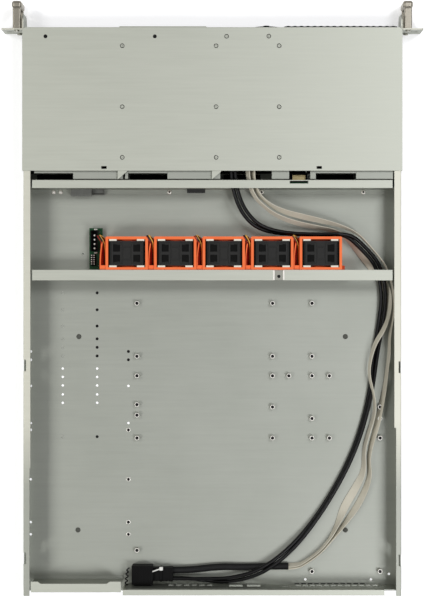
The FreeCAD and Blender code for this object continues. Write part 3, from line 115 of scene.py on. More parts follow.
def mottled(name, grain, dark, pale, surface, detail=2.0, blend="MIX", bump=None, rounding=None):
    """Material whose colour drifts between two tones in patches about one grain wide, in metres.

    surface holds the shader's other values, bump its strength and depth, and rounding the radius
    in metres that edges seem to have.
    """
    made = material_named(name)
    place = add(made, "TexCoord")
    patches = add(made, "TexNoise", {"Vector": place.outputs["Object"], "Scale": 1 / grain,
                                     "Detail": detail})
    tone = add(made, "Mix", {0: patches.outputs[0], 6: linear(dark), 7: linear(pale)},
               data_type="RGBA", blend_type=blend)
    values = {"Base Color": tone.outputs[2], **surface}
    if bump:
        values["Normal"] = add(made, "Bump", {"Height": patches.outputs[0], "Strength": bump[0],
                                              "Distance": bump[1]}).outputs[0]
    if rounding:
        values["Normal"] = add(made, "Bevel", {"Radius": rounding}, samples=4).outputs[0]
    shader = add(made, "BsdfPrincipled", values)
    add(made, "OutputMaterial", {"Surface": shader.outputs[0]})
    return made


# Soft black PVC has a skin so fine that only its scuffs show, as slow changes of black.
pvc = mottled("black_pvc_cable", 0.012, "#060606", "#0f0e0e",
              {"Roughness": 0.36, "Specular IOR Level": 0.25}, detail=3.0, bump=(0.08, 0.0003))

black_a_route = [
    (-0.0211, -0.2955, 0.0355), (-0.0211, -0.2620, 0.0355), (-0.0222, -0.2160, 0.0352),
    (-0.0206, -0.1720, 0.0352), (-0.0217, -0.1336, 0.0346), (-0.0290, -0.1060, 0.0290),
    (-0.0440, -0.0850, 0.0230), (-0.0640, -0.0762, 0.0190), (-0.0900, -0.0734, 0.0170),
    (-0.1180, -0.0732, 0.0165), (-0.1350, -0.0732, 0.0162), (-0.1490, -0.0737, 0.0158),
    (-0.1600, -0.0680, 0.0154), (-0.1715, -0.0570, 0.0146),
    (-0.1892, -0.0383, 0.0115), (-0.1969, -0.0049, 0.0090), (-0.1925, 0.0306, 0.0052),
    (-0.1865, 0.0657, 0.0048), (-0.1835, 0.1006, 0.0048), (-0.1760, 0.1380, 0.0048),
    (-0.1625, 0.1790, 0.0048), (-0.1425, 0.2190, 0.0048), (-0.1175, 0.2580, 0.0060),
    (-0.0890, 0.2902, 0.0115), (-0.0544, 0.3156, 0.0140), (-0.0200, 0.3246, 0.0138),
    (0.0140, 0.3252, 0.0134), (0.0300, 0.3249, 0.0130), (0.0460, 0.3249, 0.0130),
]
black_b_route = [
    (-0.0256, -0.2955, 0.0355), (-0.0256, -0.2620, 0.0355), (-0.0267, -0.2160, 0.0352),
    (-0.0251, -0.1720, 0.0352), (-0.0262, -0.1344, 0.0346), (-0.0335, -0.1075, 0.0305),
    (-0.0480, -0.0880, 0.0258), (-0.0650, -0.0790, 0.0232), (-0.0900, -0.0745, 0.0218),
    (-0.1180, -0.0736, 0.0212), (-0.1350, -0.0736, 0.0209), (-0.1500, -0.0742, 0.0204),
    (-0.1630, -0.0710, 0.0180), (-0.1745, -0.0612, 0.0150),
    (-0.1938, -0.0407, 0.0115), (-0.2021, -0.0051, 0.0090), (-0.1975, 0.0314, 0.0052),
    (-0.1910, 0.0663, 0.0052), (-0.1865, 0.1014, 0.0078), (-0.1782, 0.1392, 0.0093),
    (-0.1646, 0.1802, 0.0095), (-0.1444, 0.2204, 0.0095), (-0.1194, 0.2596, 0.0104),
    (-0.0920, 0.2932, 0.0130), (-0.0576, 0.3196, 0.0140), (-0.0200, 0.3299, 0.0106),
    (0.0140, 0.3272, 0.0084), (0.0300, 0.3249, 0.0078), (0.0460, 0.3249, 0.0078),
]
for name, route, length in (("cable_black_a", black_a_route, 0.866),
                            ("cable_black_b", black_b_route, 0.874)):
    cable = route_curve(name + "_jacket", route, radius=0.0022)
    cable.data.materials.append(pvc)
    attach(cable, "case")
    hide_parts(name)


# ---- Sleeve. A braided black sleeve gathers the ribbon cables' ends and carries them to the plug.
# It is woven from flat polyester filaments, so it is dull, with a fine cross-hatch and grey glints.
sleeve_route = [
    (-0.0880, 0.3115, 0.0056), (-0.0660, 0.3115, 0.0056), (-0.0380, 0.3126, 0.0060),
    (-0.0080, 0.3118, 0.0068), (0.0140, 0.3142, 0.0076), (0.0300, 0.3156, 0.0080),
    (0.0460, 0.3156, 0.0080),
]
braid = material_named("braided_polyester_sleeve")
braid_place = add(braid, "TexCoord")
# The checks stand for bundles of filaments 1.1 mm wide, which cross at about 45 degrees.
braid_turn = add(braid, "Mapping", {"Vector": braid_place.outputs["Object"],
                                    "Rotation": (0.0, 0.0, math.radians(45))})
braid_weave = add(braid, "TexChecker", {"Vector": braid_turn.outputs[0], "Scale": 1 / 0.0011,
                                        "Color1": linear("#0d0d0d"), "Color2": linear("#262625")})
braid_grain = add(braid, "TexNoise",
                  {"Vector": braid_place.outputs["Object"], "Scale": 1 / 0.006, "Detail": 3.0})
braid_tone = add(braid, "Mix",
                 {0: braid_grain.outputs[0], 6: linear("#101010"), 7: braid_weave.outputs[0]},
                 data_type="RGBA")
braid_bump = add(braid, "Bump",
                 {"Height": braid_weave.outputs[1], "Strength": 0.5, "Distance": 0.0004})
braid_shader = add(braid, "BsdfPrincipled",
                   {"Base Color": braid_tone.outputs[2], "Roughness": 0.60,
                    "Specular IOR Level": 0.25, "Normal": braid_bump.outputs[0]})
add(braid, "OutputMaterial", {"Surface": braid_shader.outputs[0]})
sleeve = route_curve("cable_sleeve_braid", sleeve_route, radius=0.0040)
sleeve.data.materials.append(braid)
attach(sleeve, "case")
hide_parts("cable_sleeve")


# ---- Ribbon cables. Each is a flat band of eight moulded wires, about 10 mm wide and 1 mm thick,
# in warm grey PVC. It twists along its route, flat in some stretches and on its edge in others.
# The last number of each point is that twist in degrees.
ribbon_a_route = [
    (-0.0430, -0.2955, 0.0355, 0), (-0.0430, -0.2620, 0.0355, 20), (-0.0420, -0.2160, 0.0360, 40),
    (-0.0410, -0.1720, 0.0360, 60), (-0.0402, -0.1360, 0.0360, 66), (-0.0477, -0.1165, 0.0340, 70),
    (-0.0580, -0.1060, 0.0300, 74), (-0.0720, -0.0955, 0.0250, 68), (-0.0939, -0.0870, 0.0185, 60),
    (-0.1190, -0.0820, 0.0115, 62), (-0.1450, -0.0775, 0.0080, 70), (-0.1590, -0.0670, 0.0075, 60),
    (-0.1716, -0.0507, 0.0065, 48), (-0.1870, -0.0330, 0.0048, 30), (-0.2020, -0.0130, 0.0042, 22),
    (-0.2052, 0.0050, 0.0066, 50), (-0.2048, 0.0190, 0.0105, 75), (-0.1985, 0.0360, 0.0142, 66),
    (-0.1880, 0.0520, 0.0142, 68),
    (-0.1828, 0.0700, 0.0126, 76), (-0.1806, 0.0880, 0.0125, 78), (-0.1852, 0.1060, 0.0124, 78),
    (-0.1885, 0.1255, 0.0115, 76), (-0.1862, 0.1410, 0.0085, 72), (-0.1805, 0.1575, 0.0068, 70),
    (-0.1752, 0.1780, 0.0062, 72), (-0.1762, 0.2010, 0.0056, 60), (-0.1655, 0.2218, 0.0040, 30),
    (-0.1533, 0.2423, 0.0034, 20), (-0.1470, 0.2580, 0.0058, 58), (-0.1378, 0.2774, 0.0066, 80),
    (-0.1243, 0.2940, 0.0065, 84), (-0.1069, 0.3062, 0.0065, 84), (-0.0985, 0.3101, 0.0062, 72),
    (-0.0880, 0.3103, 0.0060, 66),
]
ribbon_b_route = [
    (-0.0522, -0.2955, 0.0355, 0), (-0.0522, -0.2620, 0.0355, 20), (-0.0505, -0.2160, 0.0360, 40),
    (-0.0480, -0.1720, 0.0360, 60), (-0.0458, -0.1370, 0.0360, 66), (-0.0525, -0.1190, 0.0350, 72),
    (-0.0645, -0.1080, 0.0315, 72), (-0.0800, -0.1000, 0.0275, 60), (-0.1006, -0.0945, 0.0230, 52),
    (-0.1240, -0.0895, 0.0190, 58), (-0.1500, -0.0830, 0.0150, 72), (-0.1690, -0.0740, 0.0130, 80),
    (-0.1810, -0.0612, 0.0118, 84), (-0.1915, -0.0490, 0.0113, 84), (-0.2010, -0.0366, 0.0110, 84),
    (-0.2085, -0.0150, 0.0110, 84), (-0.2108, 0.0100, 0.0115, 84), (-0.2075, 0.0300, 0.0115, 82),
    (-0.2048, 0.0450, 0.0110, 78),
    (-0.2048, 0.0640, 0.0095, 76), (-0.2023, 0.0846, 0.0080, 74), (-0.1994, 0.1079, 0.0072, 68),
    (-0.1950, 0.1284, 0.0064, 58), (-0.1908, 0.1488, 0.0060, 55), (-0.1835, 0.1722, 0.0062, 66),
    (-0.1812, 0.1880, 0.0062, 72), (-0.1828, 0.2043, 0.0058, 66), (-0.1793, 0.2189, 0.0052, 55),
    (-0.1695, 0.2400, 0.0050, 45), (-0.1550, 0.2600, 0.0060, 64), (-0.1396, 0.2792, 0.0066, 82),
    (-0.1258, 0.2958, 0.0065, 84), (-0.1082, 0.3082, 0.0065, 84), (-0.0990, 0.3122, 0.0062, 72),
    (-0.0880, 0.3126, 0.0060, 66),
]
# Soft PVC is half glossy, and its tone drifts between beige and pale grey along the band.
ribbon_pvc = mottled("warm_grey_ribbon_pvc", 0.02, "#bfb9a6", "#dad5c3",
                     {"Roughness": 0.42, "IOR": 1.52}, detail=3.0)


def ribbon_profile(wires, pitch, thickness):
    """Closed outline of a flat cable: a row of round wires with shallow grooves between them."""
    data = bpy.data.curves.new("ribbon_profile", "CURVE")
    data.dimensions = "2D"
    spline = data.splines.new("POLY")
    steps = 6
    groove, wire_rise = 0.30, 0.20
    top = []
    for i in range(wires * steps + 1):
        x = (i / steps - wires / 2) * pitch
        top.append((x, thickness * (groove + wire_rise * abs(math.sin(math.pi * i / steps)))))
    outline = top + [(x, -y) for x, y in reversed(top)]
    spline.points.add(len(outline) - 1)
    for point, (x, y) in zip(spline.points, outline):
        point.co = (x, y, 0.0, 1.0)
    spline.use_cyclic_u = True
    return bpy.data.objects.new("ribbon_profile", data)


ribbon_wires, wire_pitch, ribbon_thickness = 8, 0.00122, 0.0011
for name, route, length in (("ribbon_a", ribbon_a_route, 0.731),
                            ("ribbon_b", ribbon_b_route, 0.739)):
    guide = route_curve(name + "_guide", route)
    line = bpy.data.meshes.new_from_object(guide)
    bpy.data.meshes.remove(line)
    profile = ribbon_profile(ribbon_wires, wire_pitch, ribbon_thickness)
    scene.collection.objects.link(profile)
    guide.data.bevel_mode = "OBJECT"
    guide.data.bevel_object = profile
    seen = guide.evaluated_get(bpy.context.evaluated_depsgraph_get())
    band = bpy.data.objects.new(name + "_band", bpy.data.meshes.new_from_object(seen))
    bpy.data.objects.remove(guide)
    bpy.data.objects.remove(profile)
    scene.collection.objects.link(band)
    band.data.materials.clear()
    band.data.materials.append(ribbon_pvc)
    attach(band, "case")
    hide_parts(name)


# ---- Case shell. Cold-rolled sheet with an electroplated zinc coat, cut, pierced and folded: the
# tray, the covers and the cross-members. The coat is grey, faintly green, half matt, with fine
# streaks along the rolling direction. Light is painted into it: everything below the top of the
# walls gets a darker tone, painted shade for the inside of the tray, and the rails' top faces get
# a paler tone at the front and a darker one at the rear, painted highlight and shade.
zinc = material_named("zinc_plated_sheet")
zinc_place = add(zinc, "TexCoord")
# The streaks are 60 mm long and 2 mm wide, drawn coarser than the real rolling lines.
zinc_streak = add(zinc, "Mapping",
                  {"Vector": zinc_place.outputs["Object"],
                   "Scale": (1 / 0.060, 1 / 0.0022, 1 / 0.0022)})
zinc_lines = add(zinc, "TexNoise",
                 {"Vector": zinc_streak.outputs[0], "Scale": 1.0, "Detail": 3.0, "Roughness": 0.6})
zinc_cloud = add(zinc, "TexNoise",
                 {"Vector": zinc_place.outputs["Object"], "Scale": 1 / 0.11, "Detail": 4.0,
                  "Roughness": 0.55})
zinc_axes = add(zinc, "SeparateXYZ", {"Vector": zinc_place.outputs["Object"]})
# Painted shade: below 39.5 mm the sheet takes the darker low tone, above 41.2 mm the paler top
# tone.
zinc_lit_top_mask = add(zinc, "MapRange",
                {"Value": zinc_axes.outputs["Z"], "From Min": 0.0395, "From Max": 0.0412})
# Painted highlight and shade: the side rails' top faces, beyond 207.2 mm out and below 42.6 mm, get
# their own tone, pale up to 140 mm back and darker from 220 mm to the rear.
zinc_side = add(zinc, "Math", {0: zinc_axes.outputs["X"]}, operation="ABSOLUTE")
zinc_edge = add(zinc, "MapRange",
                {"Value": zinc_side.outputs[0], "From Min": 0.2072, "From Max": 0.2078})
zinc_below = add(zinc, "MapRange",
                 {"Value": zinc_axes.outputs["Z"], "From Min": 0.0425, "From Max": 0.0427,
                  "To Min": 1.0, "To Max": 0.0})
zinc_rail_highlight_mask = add(zinc, "Math", {0: zinc_edge.outputs[0], 1: zinc_below.outputs[0]},
                operation="MULTIPLY")
zinc_rail_highlight_fade = add(zinc, "MapRange",
                {"Value": zinc_axes.outputs["Y"], "From Min": 0.14, "From Max": 0.22, "To Min": 1.0,
                 "To Max": 0.0})
zinc_rail_highlight_tone = add(zinc, "Mix",
                     {0: zinc_rail_highlight_fade.outputs[0], 6: linear("#a6a89e"), 7: linear("#d0cfc1")},
                     data_type="RGBA")
# The painted-shade low tone, mottled at random in 110 mm patches.
zinc_shaded_low_tone = add(zinc, "Mix",
                    {0: zinc_cloud.outputs[0], 6: linear("#9c9f95"), 7: linear("#abada4")},
                    data_type="RGBA")
zinc_lit_top_tone = add(zinc, "Mix",
                     {0: zinc_rail_highlight_mask.outputs[0], 6: linear("#bec0b4"), 7: zinc_rail_highlight_tone.outputs[2]},
                     data_type="RGBA")
zinc_base = add(zinc, "Mix",
                {0: zinc_lit_top_mask.outputs[0], 6: zinc_shaded_low_tone.outputs[2],
                 7: zinc_lit_top_tone.outputs[2]},
                data_type="RGBA")
zinc_tone = add(zinc, "Mix", {0: 0.07, 6: zinc_base.outputs[2], 7: zinc_lines.outputs[0]},
                data_type="RGBA", blend_type="OVERLAY")
zinc_gloss = add(zinc, "MapRange", {"Value": zinc_lines.outputs[0], "To Min": 0.45, "To Max": 0.55})
zinc_round = add(zinc, "Bevel", {"Radius": 0.0005}, samples=4)
zinc_skin = add(zinc, "Bump",
                {"Height": zinc_lines.outputs[0], "Strength": 0.06, "Distance": 0.0002,
                 "Normal": zinc_round.outputs[0]})
zinc_shader = add(zinc, "BsdfPrincipled",
                  {"Base Color": zinc_tone.outputs[2], "Metallic": 1.0,
                   "Roughness": zinc_gloss.outputs[0], "Normal": zinc_skin.outputs[0]})
add(zinc, "OutputMaterial", {"Surface": zinc_shader.outputs[0]})


def wear(material, *names):
    """Gives CAD nodes a finished material."""
    for name in names:
        nodes[name].data.materials.clear()
        nodes[name].data.materials.append(material)


wear(zinc, "base_tray", "rear_panel", "psu_bay_blank", "front_cover", "front_panel", "ear_left",
     "ear_right", "bay_divider_1", "bay_divider_2", "bay_divider_3", "media_shelf",
     "backplane_brace", "fan_wall", "io_shield", "slot_cover")


# ---- Standoffs. Hexagon posts of nickel-plated steel, pressed into the floor. Their flat tops
# mirror whatever hangs over the case, and only their rims catch the lamps.
# Worn nickel is warm grey and glossier than zinc, with gloss that varies over each part.
nickel = material_named("nickel_plated_steel")
nickel_place = add(nickel, "TexCoord")
nickel_mark = add(nickel, "TexNoise",
                  {"Vector": nickel_place.outputs["Object"], "Scale": 1 / 0.002, "Detail": 2.0})
nickel_gloss = add(nickel, "MapRange",
                   {"Value": nickel_mark.outputs[0], "To Min": 0.30, "To Max": 0.42})
nickel_round = add(nickel, "Bevel", {"Radius": 0.0003}, samples=4)
nickel_shader = add(nickel, "BsdfPrincipled", {"Base Color": linear("#aeada2"), "Metallic": 1.0,
                                               "Roughness": nickel_gloss.outputs[0],
                                               "Normal": nickel_round.outputs[0]})
add(nickel, "OutputMaterial", {"Surface": nickel_shader.outputs[0]})
wear(nickel, "board_standoffs")


# ---- Rivets of the brace. Blind rivets clench the brace's foot to the floor. Three are domed rings
# with the broken mandrel sunk in the middle, its hollow shown as a black disc of painted shade, and
# two near the right wall are solid heads.
mm_per_m = 1000


def turned(profile, steps=20):
    """Round shape: (radius, height) points in millimetres, spun about the upright axis."""
    shape = bmesh.new()
    line = [shape.verts.new((radius / mm_per_m, 0.0, height / mm_per_m))
            for radius, height in profile]
    edges = [shape.edges.new(pair) for pair in zip(line, line[1:])]
    bmesh.ops.spin(shape, geom=line + edges, axis=(0, 0, 1), cent=(0, 0, 0),
                   angle=2 * math.pi, steps=steps, use_merge=True)
    bmesh.ops.remove_doubles(shape, verts=shape.verts[:], dist=1e-6)
    bmesh.ops.recalc_face_normals(shape, faces=shape.faces[:])
    return shape


def repeated(shape, places):
    """The same shape at each place: x, y and z in millimetres, then an optional turn matrix."""
    one = bpy.data.meshes.new("one")
    shape.to_mesh(one)
    shape.clear()
    for x, y, z, *turn in places:
        start = len(shape.verts)
        shape.from_mesh(one)
        shape.verts.ensure_lookup_table()
        spot = Matrix.Translation((x / mm_per_m, y / mm_per_m, z / mm_per_m))
        if turn:
            spot = spot @ turn[0]
        bmesh.ops.transform(shape, matrix=spot, verts=shape.verts[start:])
    bpy.data.meshes.remove(one)
    return shape


def finished(name, shape, material):
    """Object of a shape, with its material, on the case."""
    mesh = bpy.data.meshes.new(name)
    shape.to_mesh(mesh)
    shape.free()
    mesh.materials.append(material)
    made = bpy.data.objects.new(name, mesh)
    scene.collection.objects.link(made)
    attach(made, "case")
    return made


# Tin plate is the palest metal here, and half matt, so it reads as soft white dots.
tin = material_named("bright_tin_plate")
tin_place = add(tin, "TexCoord")
tin_haze = add(tin, "TexNoise",
               {"Vector": tin_place.outputs["Object"], "Scale": 1 / 0.001, "Detail": 2.0})
tin_gloss = add(tin, "MapRange", {"Value": tin_haze.outputs[0], "To Min": 0.42, "To Max": 0.56})
tin_shader = add(tin, "BsdfPrincipled", {"Base Color": linear("#ece9e0"), "Metallic": 1.0,
                                         "Roughness": tin_gloss.outputs[0]})
add(tin, "OutputMaterial", {"Surface": tin_shader.outputs[0]})

ring_rivet = turned([(0, -0.8), (1.15, -0.8), (1.15, 0), (2.7, 0), (2.6, 0.4), (2.0, 0.85),
                     (1.3, 1.0), (1.1, 0.8), (1.0, -0.3), (0, -0.3)])
rivet_row = -123.1
foot_top = 2.0
ring_spots = [(x, rivet_row, foot_top) for x in (50.3, -57.1, -175.3)]
finished("brace_ring_rivets", repeated(ring_rivet, ring_spots), tin)
# Painted shade: a black disc in each ring's hollow.
rivet_hollow_shade = turned([(0, 0), (1.15, 0), (1.15, 0.6), (0, 0.6)], 12)
finished("brace_rivet_hollow_shade", repeated(rivet_hollow_shade, ring_spots), pvc)
solid_rivet = turned([(0, -0.8), (1.15, -0.8), (1.15, 0), (2.6, 0), (2.45, 0.6), (1.7, 1.1),
                      (0, 1.25)])
solid_spots = [(x, rivet_row, foot_top) for x in (177.0, 185.1)]
finished("brace_solid_rivets", repeated(solid_rivet, solid_spots), tin)


# ---- Floor fittings. Four dark rubber rivets hold the feet under the floor. Self-clinching nuts
# with bright rims close some of the floor's holes, and flush rivets close others. The nuts' bores
# and
# one pin hole hold black discs: painted shade of the holes.
# Rubber is dull and holds dust, so the rivets read as soft dark grey discs.
rubber = mottled("dark_grey_rubber", 0.002, "#474842", "#5e5f58",
                 {"Roughness": 0.7, "Specular IOR Level": 0.2})
foot_rivet = turned([(0, 0), (2.8, 0), (2.8, 0.7), (2.4, 1.0), (0, 1.1)])
feet = [(155.7, 45.0, 0.65), (156.8, 270.0, 0.65), (-154.3, 45.0, 0.65), (-154.3, 270.0, 0.65)]
finished("foot_rivets", repeated(foot_rivet, feet), rubber)

# The rows are measured back from the front face. Fittings start inside the 1 mm floor.
front_face = -309.5
in_floor = 0.3
side_row = (303.6, 323.3, 342.2, 357.1, 367.0, 377.0, 471.0)
open_nuts = (463.1, 520.6, 570.4, 584.6)
bore_rows = {134.5: side_row, 98.1: (371.8, 381.5) + open_nuts}
bores = [(x, y + front_face, in_floor) for x, row in bore_rows.items() for y in row]
# Painted shade: black discs fill the nuts' bores.
nut_hole_shade = turned([(0, 0), (1.45, 0), (1.45, 0.7), (1.75, 0.75), (1.7, 0.9), (0, 0.9)], 12)
finished("clinch_nut_hole_shade", repeated(nut_hole_shade, bores), pvc)
nut_rim = turned([(1.7, 0.7), (2.5, 0.7), (2.4, 1.0), (1.9, 1.15), (1.7, 1.0), (1.7, 0.7)], 16)
rim_spots = [(98.1, y + front_face, in_floor) for y in open_nuts]
finished("clinch_nut_rims", repeated(nut_rim, rim_spots), tin)
pin_spot = (150.9, -51.4, in_floor)
flush = turned([(0, 0), (1.42, 0), (1.42, 0.6), (0, 0.6)], 12)
flush_spots = [(174.5, y + front_face, in_floor) for y in side_row] + [pin_spot]
finished("flush_rivets", repeated(flush, flush_spots), zinc)
# Painted shade: a black disc fills the pin hole.
pin_hole = turned([(0, 0), (0.75, 0), (0.75, 0.7), (0, 0.7)], 12)
finished("floor_pin_hole", repeated(pin_hole, [pin_spot]), pvc)

# Painted shade and highlight: a black disc in each tapped bore stands for its shade, and a pale
# tin ring on each top stands for the light that its turned rim catches.
bore_shade_disc = turned([(0, 0), (1.35, 0), (1.35, 1.02), (2.0, 1.02), (1.95, 1.12), (0, 1.12)], 12)
crown = turned([(2.0, 1.0), (2.75, 1.0), (2.65, 1.15), (2.0, 1.15), (2.0, 1.0)], 12)
below_top = 6.0
standoff_rows = {87.9: (6.2, 67.7, 90.4, 123.8, 136.1, 162.6, 293.0),
                 -69.5: (6.2, 67.7, 90.4, 126.6, 162.6), -88.5: (90.4,),
                 -115.3: (6.2, 67.7, 90.4, 139.9, 162.6, 317.5), -135.5: (90.4, 162.6),
                 -194.4: (126.6, 139.9, 162.6, 317.5)}
threads = [(x, y, below_top) for x, row in standoff_rows.items() for y in row]
finished("standoff_hole_shade", repeated(bore_shade_disc, threads), pvc)
finished("standoff_rim_highlights", repeated(crown, threads), tin)


# ---- Cover screws. Zinc-plated countersunk machine screws with a cross recess sit flush in the
# cover's dimples. A thin black ring round each head is painted shade of the gap at its rim. Two
# spare holes near the front edge hold black plug-shaped discs: painted shade of the holes.
def cross_head(rim, foot, height):
    """Screw head with a four-armed driver recess: its radii at the rim and foot, in millimetres."""
    land, waist, recess_wall, recess_depth = 0.42, 0.42, 0.05, 0.6
    shape = bmesh.new()
    bmesh.ops.create_circle(shape, cap_ends=True, segments=16, radius=foot / mm_per_m)
    lifted = bmesh.ops.extrude_face_region(shape, geom=shape.faces[:])
    top = [face for face in lifted["geom"] if isinstance(face, bmesh.types.BMFace)][0]
    bmesh.ops.translate(shape, vec=(0, 0, height / mm_per_m), verts=top.verts[:])
    bmesh.ops.scale(shape, vec=(rim / foot, rim / foot, 1), verts=top.verts[:])
    bmesh.ops.recalc_face_normals(shape, faces=shape.faces[:])
    bmesh.ops.inset_individual(shape, faces=[top], thickness=rim * land / mm_per_m)
    for number, corner in enumerate(top.verts[:]):
        if number % 4:
            bmesh.ops.scale(shape, vec=(waist, waist, 1), verts=[corner])
    bmesh.ops.inset_individual(shape, faces=[top], thickness=rim * recess_wall / mm_per_m,
                               depth=-recess_depth * height / mm_per_m)
    return shape


cover_top = cover_height * mm_per_m
head_foot = cover_top - 1.05
seat_foot = cover_top - 0.42
screw_places = [(x, y) for x in (102.9, -4.3, -76.4) for y in (-288.3, -218.6, -160.8)]
screw_places += [(-16.3, -299.1), (-64.5, -299.3)]
screw_spots = [(x, y, head_foot) for x, y in screw_places]
finished("cover_screws", repeated(cross_head(1.9, 1.1, 0.9), screw_spots), zinc)
# Painted shade: the black ring in the gap round each screw head.
gap_shade_ring = turned([(1.9, 0), (2.6, 0), (2.6, 0.3), (1.9, 0.3), (1.9, 0)], 24)
seat_spots = [(x, y, seat_foot) for x, y in screw_places]
finished("cover_screw_gap_shade", repeated(gap_shade_ring, seat_spots), pvc)
# Painted shade: black plug-shaped discs fill the two spare holes.
plug = turned([(0, 0), (1.7, 0), (1.7, 0.9), (2.3, 0.9), (2.1, 1.05), (0, 1.1)])
shaded_hole_spots = [(x, -299.0, 42.25) for x in (190.6, 65.7)]
finished("cover_hole_shade_discs", repeated(plug, shaded_hole_spots), pvc)


# ---- Wall clip. A bright nickel-plated spring nut grips the fan wall's flange at the lid's screw:
# two raised rims and a tapped bore, whose shade is painted as a black disc.
def bar(x0, x1, y0, y1, z0, z1, round_over=0.0):
    """Block between two corners in millimetres, with its edges rounded."""
    shape = bmesh.new()
    bmesh.ops.create_cube(shape, size=1 / mm_per_m)
    bmesh.ops.scale(shape, vec=(x1 - x0, y1 - y0, z1 - z0), verts=shape.verts[:])
    middle = [(low + high) / 2 / mm_per_m for low, high in ((x0, x1), (y0, y1), (z0, z1))]
    bmesh.ops.translate(shape, vec=middle, verts=shape.verts[:])
    if round_over:
        bmesh.ops.bevel(shape, geom=shape.edges[:], offset=round_over / mm_per_m,
                        offset_type="OFFSET", segments=2, profile=0.5, affect="EDGES", material=-1)
    return shape


clip = bar(-82.4, -69.6, -32.1, -20.4, 40.6, 41.5, 0.2)
finished("wall_spring_nut", clip, nickel)
rim = bar(-1.0, 1.0, -5.9, 5.9, 0.0, 1.6, 0.4)
clip_rims = [(x, -26.3, 40.8) for x in (-81.6, -70.4)]
finished("wall_spring_nut_rims", repeated(rim, clip_rims), tin)
# Painted shade: a black disc in the tapped bore.
bore = turned([(0, 0), (1.9, 0), (1.9, 0.5), (1.6, 0.7), (0, 0.7)])
finished("wall_spring_nut_hole_shade", repeated(bore, [(-76.0, -24.8, 41.2)]), pvc)


# ---- Handles. Die-cast zinc loops with a satin champagne finish, slightly orange-peel to the eye.
# Each is held by two pan-head screws through the rack plate from behind.
cast = mottled("satin_die_cast_zinc", 0.0012, "#8d887c", "#aca698",
               {"Metallic": 1.0, "Roughness": 0.40}, detail=3.0, bump=(0.12, 0.0002))
wear(cast, "handle_left", "handle_right")
to_rear = Matrix.Rotation(math.radians(-90), 4, "X")
handle_screws = [(x, -306.95, z, to_rear) for x in (-224.0, 224.0) for z in (6.0, 37.0)]
finished("handle_screws", repeated(cross_head(2.8, 3.0, 1.9), handle_screws), nickel)


# ---- Plastic of the front: bay blank, control module, trays, levers and connectors. Injection
# moulded ABS with a fine spark-eroded texture, so it is matt black-grey.
abs_black = mottled("textured_black_abs", 0.0008, "#040404", "#0d0c0b",
                    {"Roughness": 0.60, "Specular IOR Level": 0.12}, bump=(0.25, 0.0002))
bays = range(1, 5)
wear(abs_black, "media_bay_bezel", "control_panel", "power_button", "reset_button", "harness_plug",
     "drive_connectors", *["drive_tray_" + str(i) for i in bays],
     *["tray_lever_" + str(i) for i in bays])


# ---- Circuit boards. Glass-fibre boards under dark green solder mask. The mask is a glossy
# lacquer, and each copper track under it shows as a faintly paler green line.
board = material_named("green_solder_mask")
board_place = add(board, "TexCoord")
board_tracks = add(board, "TexBrick", {"Vector": board_place.outputs["Object"], "Scale": 1 / 0.006,
                                       "Color1": linear("#06341a"), "Color2": linear("#0a4423"),
                                       "Mortar": linear("#1f5f33"), "Mortar Size": 0.03})
board_shader = add(board, "BsdfPrincipled",
                   {"Base Color": board_tracks.outputs[0], "Roughness": 0.35,
                    "Specular IOR Level": 0.3})
add(board, "OutputMaterial", {"Surface": board_shader.outputs[0]})
wear(board, "backplane_board", "fan_board")


# ---- Backplane headers. The right one is a grey nylon housing with a lower grey socket beside it;
# the middle one is black. Nylon is smooth and faintly cloudy.
nylon = material_named("natural_nylon")
nylon_place = add(nylon, "TexCoord")
nylon_cloud = add(nylon, "TexNoise",
                  {"Vector": nylon_place.outputs["Object"], "Scale": 1 / 0.004, "Detail": 3.0})
nylon_axes = add(nylon, "SeparateXYZ", {"Vector": nylon_place.outputs["Object"]})
between_headers = 0.070
nylon_right = add(nylon, "Math", {0: nylon_axes.outputs["X"], 1: between_headers},
                  operation="GREATER_THAN")
nylon_grey = add(nylon, "Mix",
                 {0: nylon_cloud.outputs[0], 6: linear("#5c5d58"), 7: linear("#72736d")},
                 data_type="RGBA")
nylon_tone = add(nylon, "Mix",
                 {0: nylon_right.outputs[0], 6: linear("#171615"), 7: nylon_grey.outputs[2]},
                 data_type="RGBA")
nylon_shader = add(nylon, "BsdfPrincipled", {"Base Color": nylon_tone.outputs[2], "Roughness": 0.45,
                                             "IOR": 1.53})
add(nylon, "OutputMaterial", {"Surface": nylon_shader.outputs[0]})
wear(nylon, "backplane_headers")


def hollowed(shape, wall, depth):
    """Sinks a block's top face into an open mouth. Wall and depth are in millimetres."""
    draft = 0.02
    top = max(shape.faces, key=lambda face: face.calc_center_median().z)
    bmesh.ops.inset_individual(shape, faces=[top], thickness=wall / mm_per_m)
    bmesh.ops.inset_individual(shape, faces=[top], thickness=draft / mm_per_m,
                               depth=-depth / mm_per_m)
    return shape


low_socket = hollowed(bar(125.5, 139.5, -125.7, -119.5, 3.0, 9.0), 0.9, 3.0)
finished("backplane_low_socket", low_socket, nylon)


# ---- Drive socket clips. A formed steel board lock at either end holds each drive socket to the
# backplane. Its hooked tip stands proud of the black housing.
hook = bar(-1.0, 1.0, -1.4, 1.4, 0.0, 9.4, 0.5)
bay_middles = (-161.625, -53.875, 53.875, 161.625)
socket_shift, socket_half = 20.0, 22.6
hook_spots = [(middle + socket_shift + side * socket_half, -136.2, 4.0)
              for middle in bay_middles for side in (-1, 1)]
finished("drive_socket_clips", repeated(hook, hook_spots), nickel)


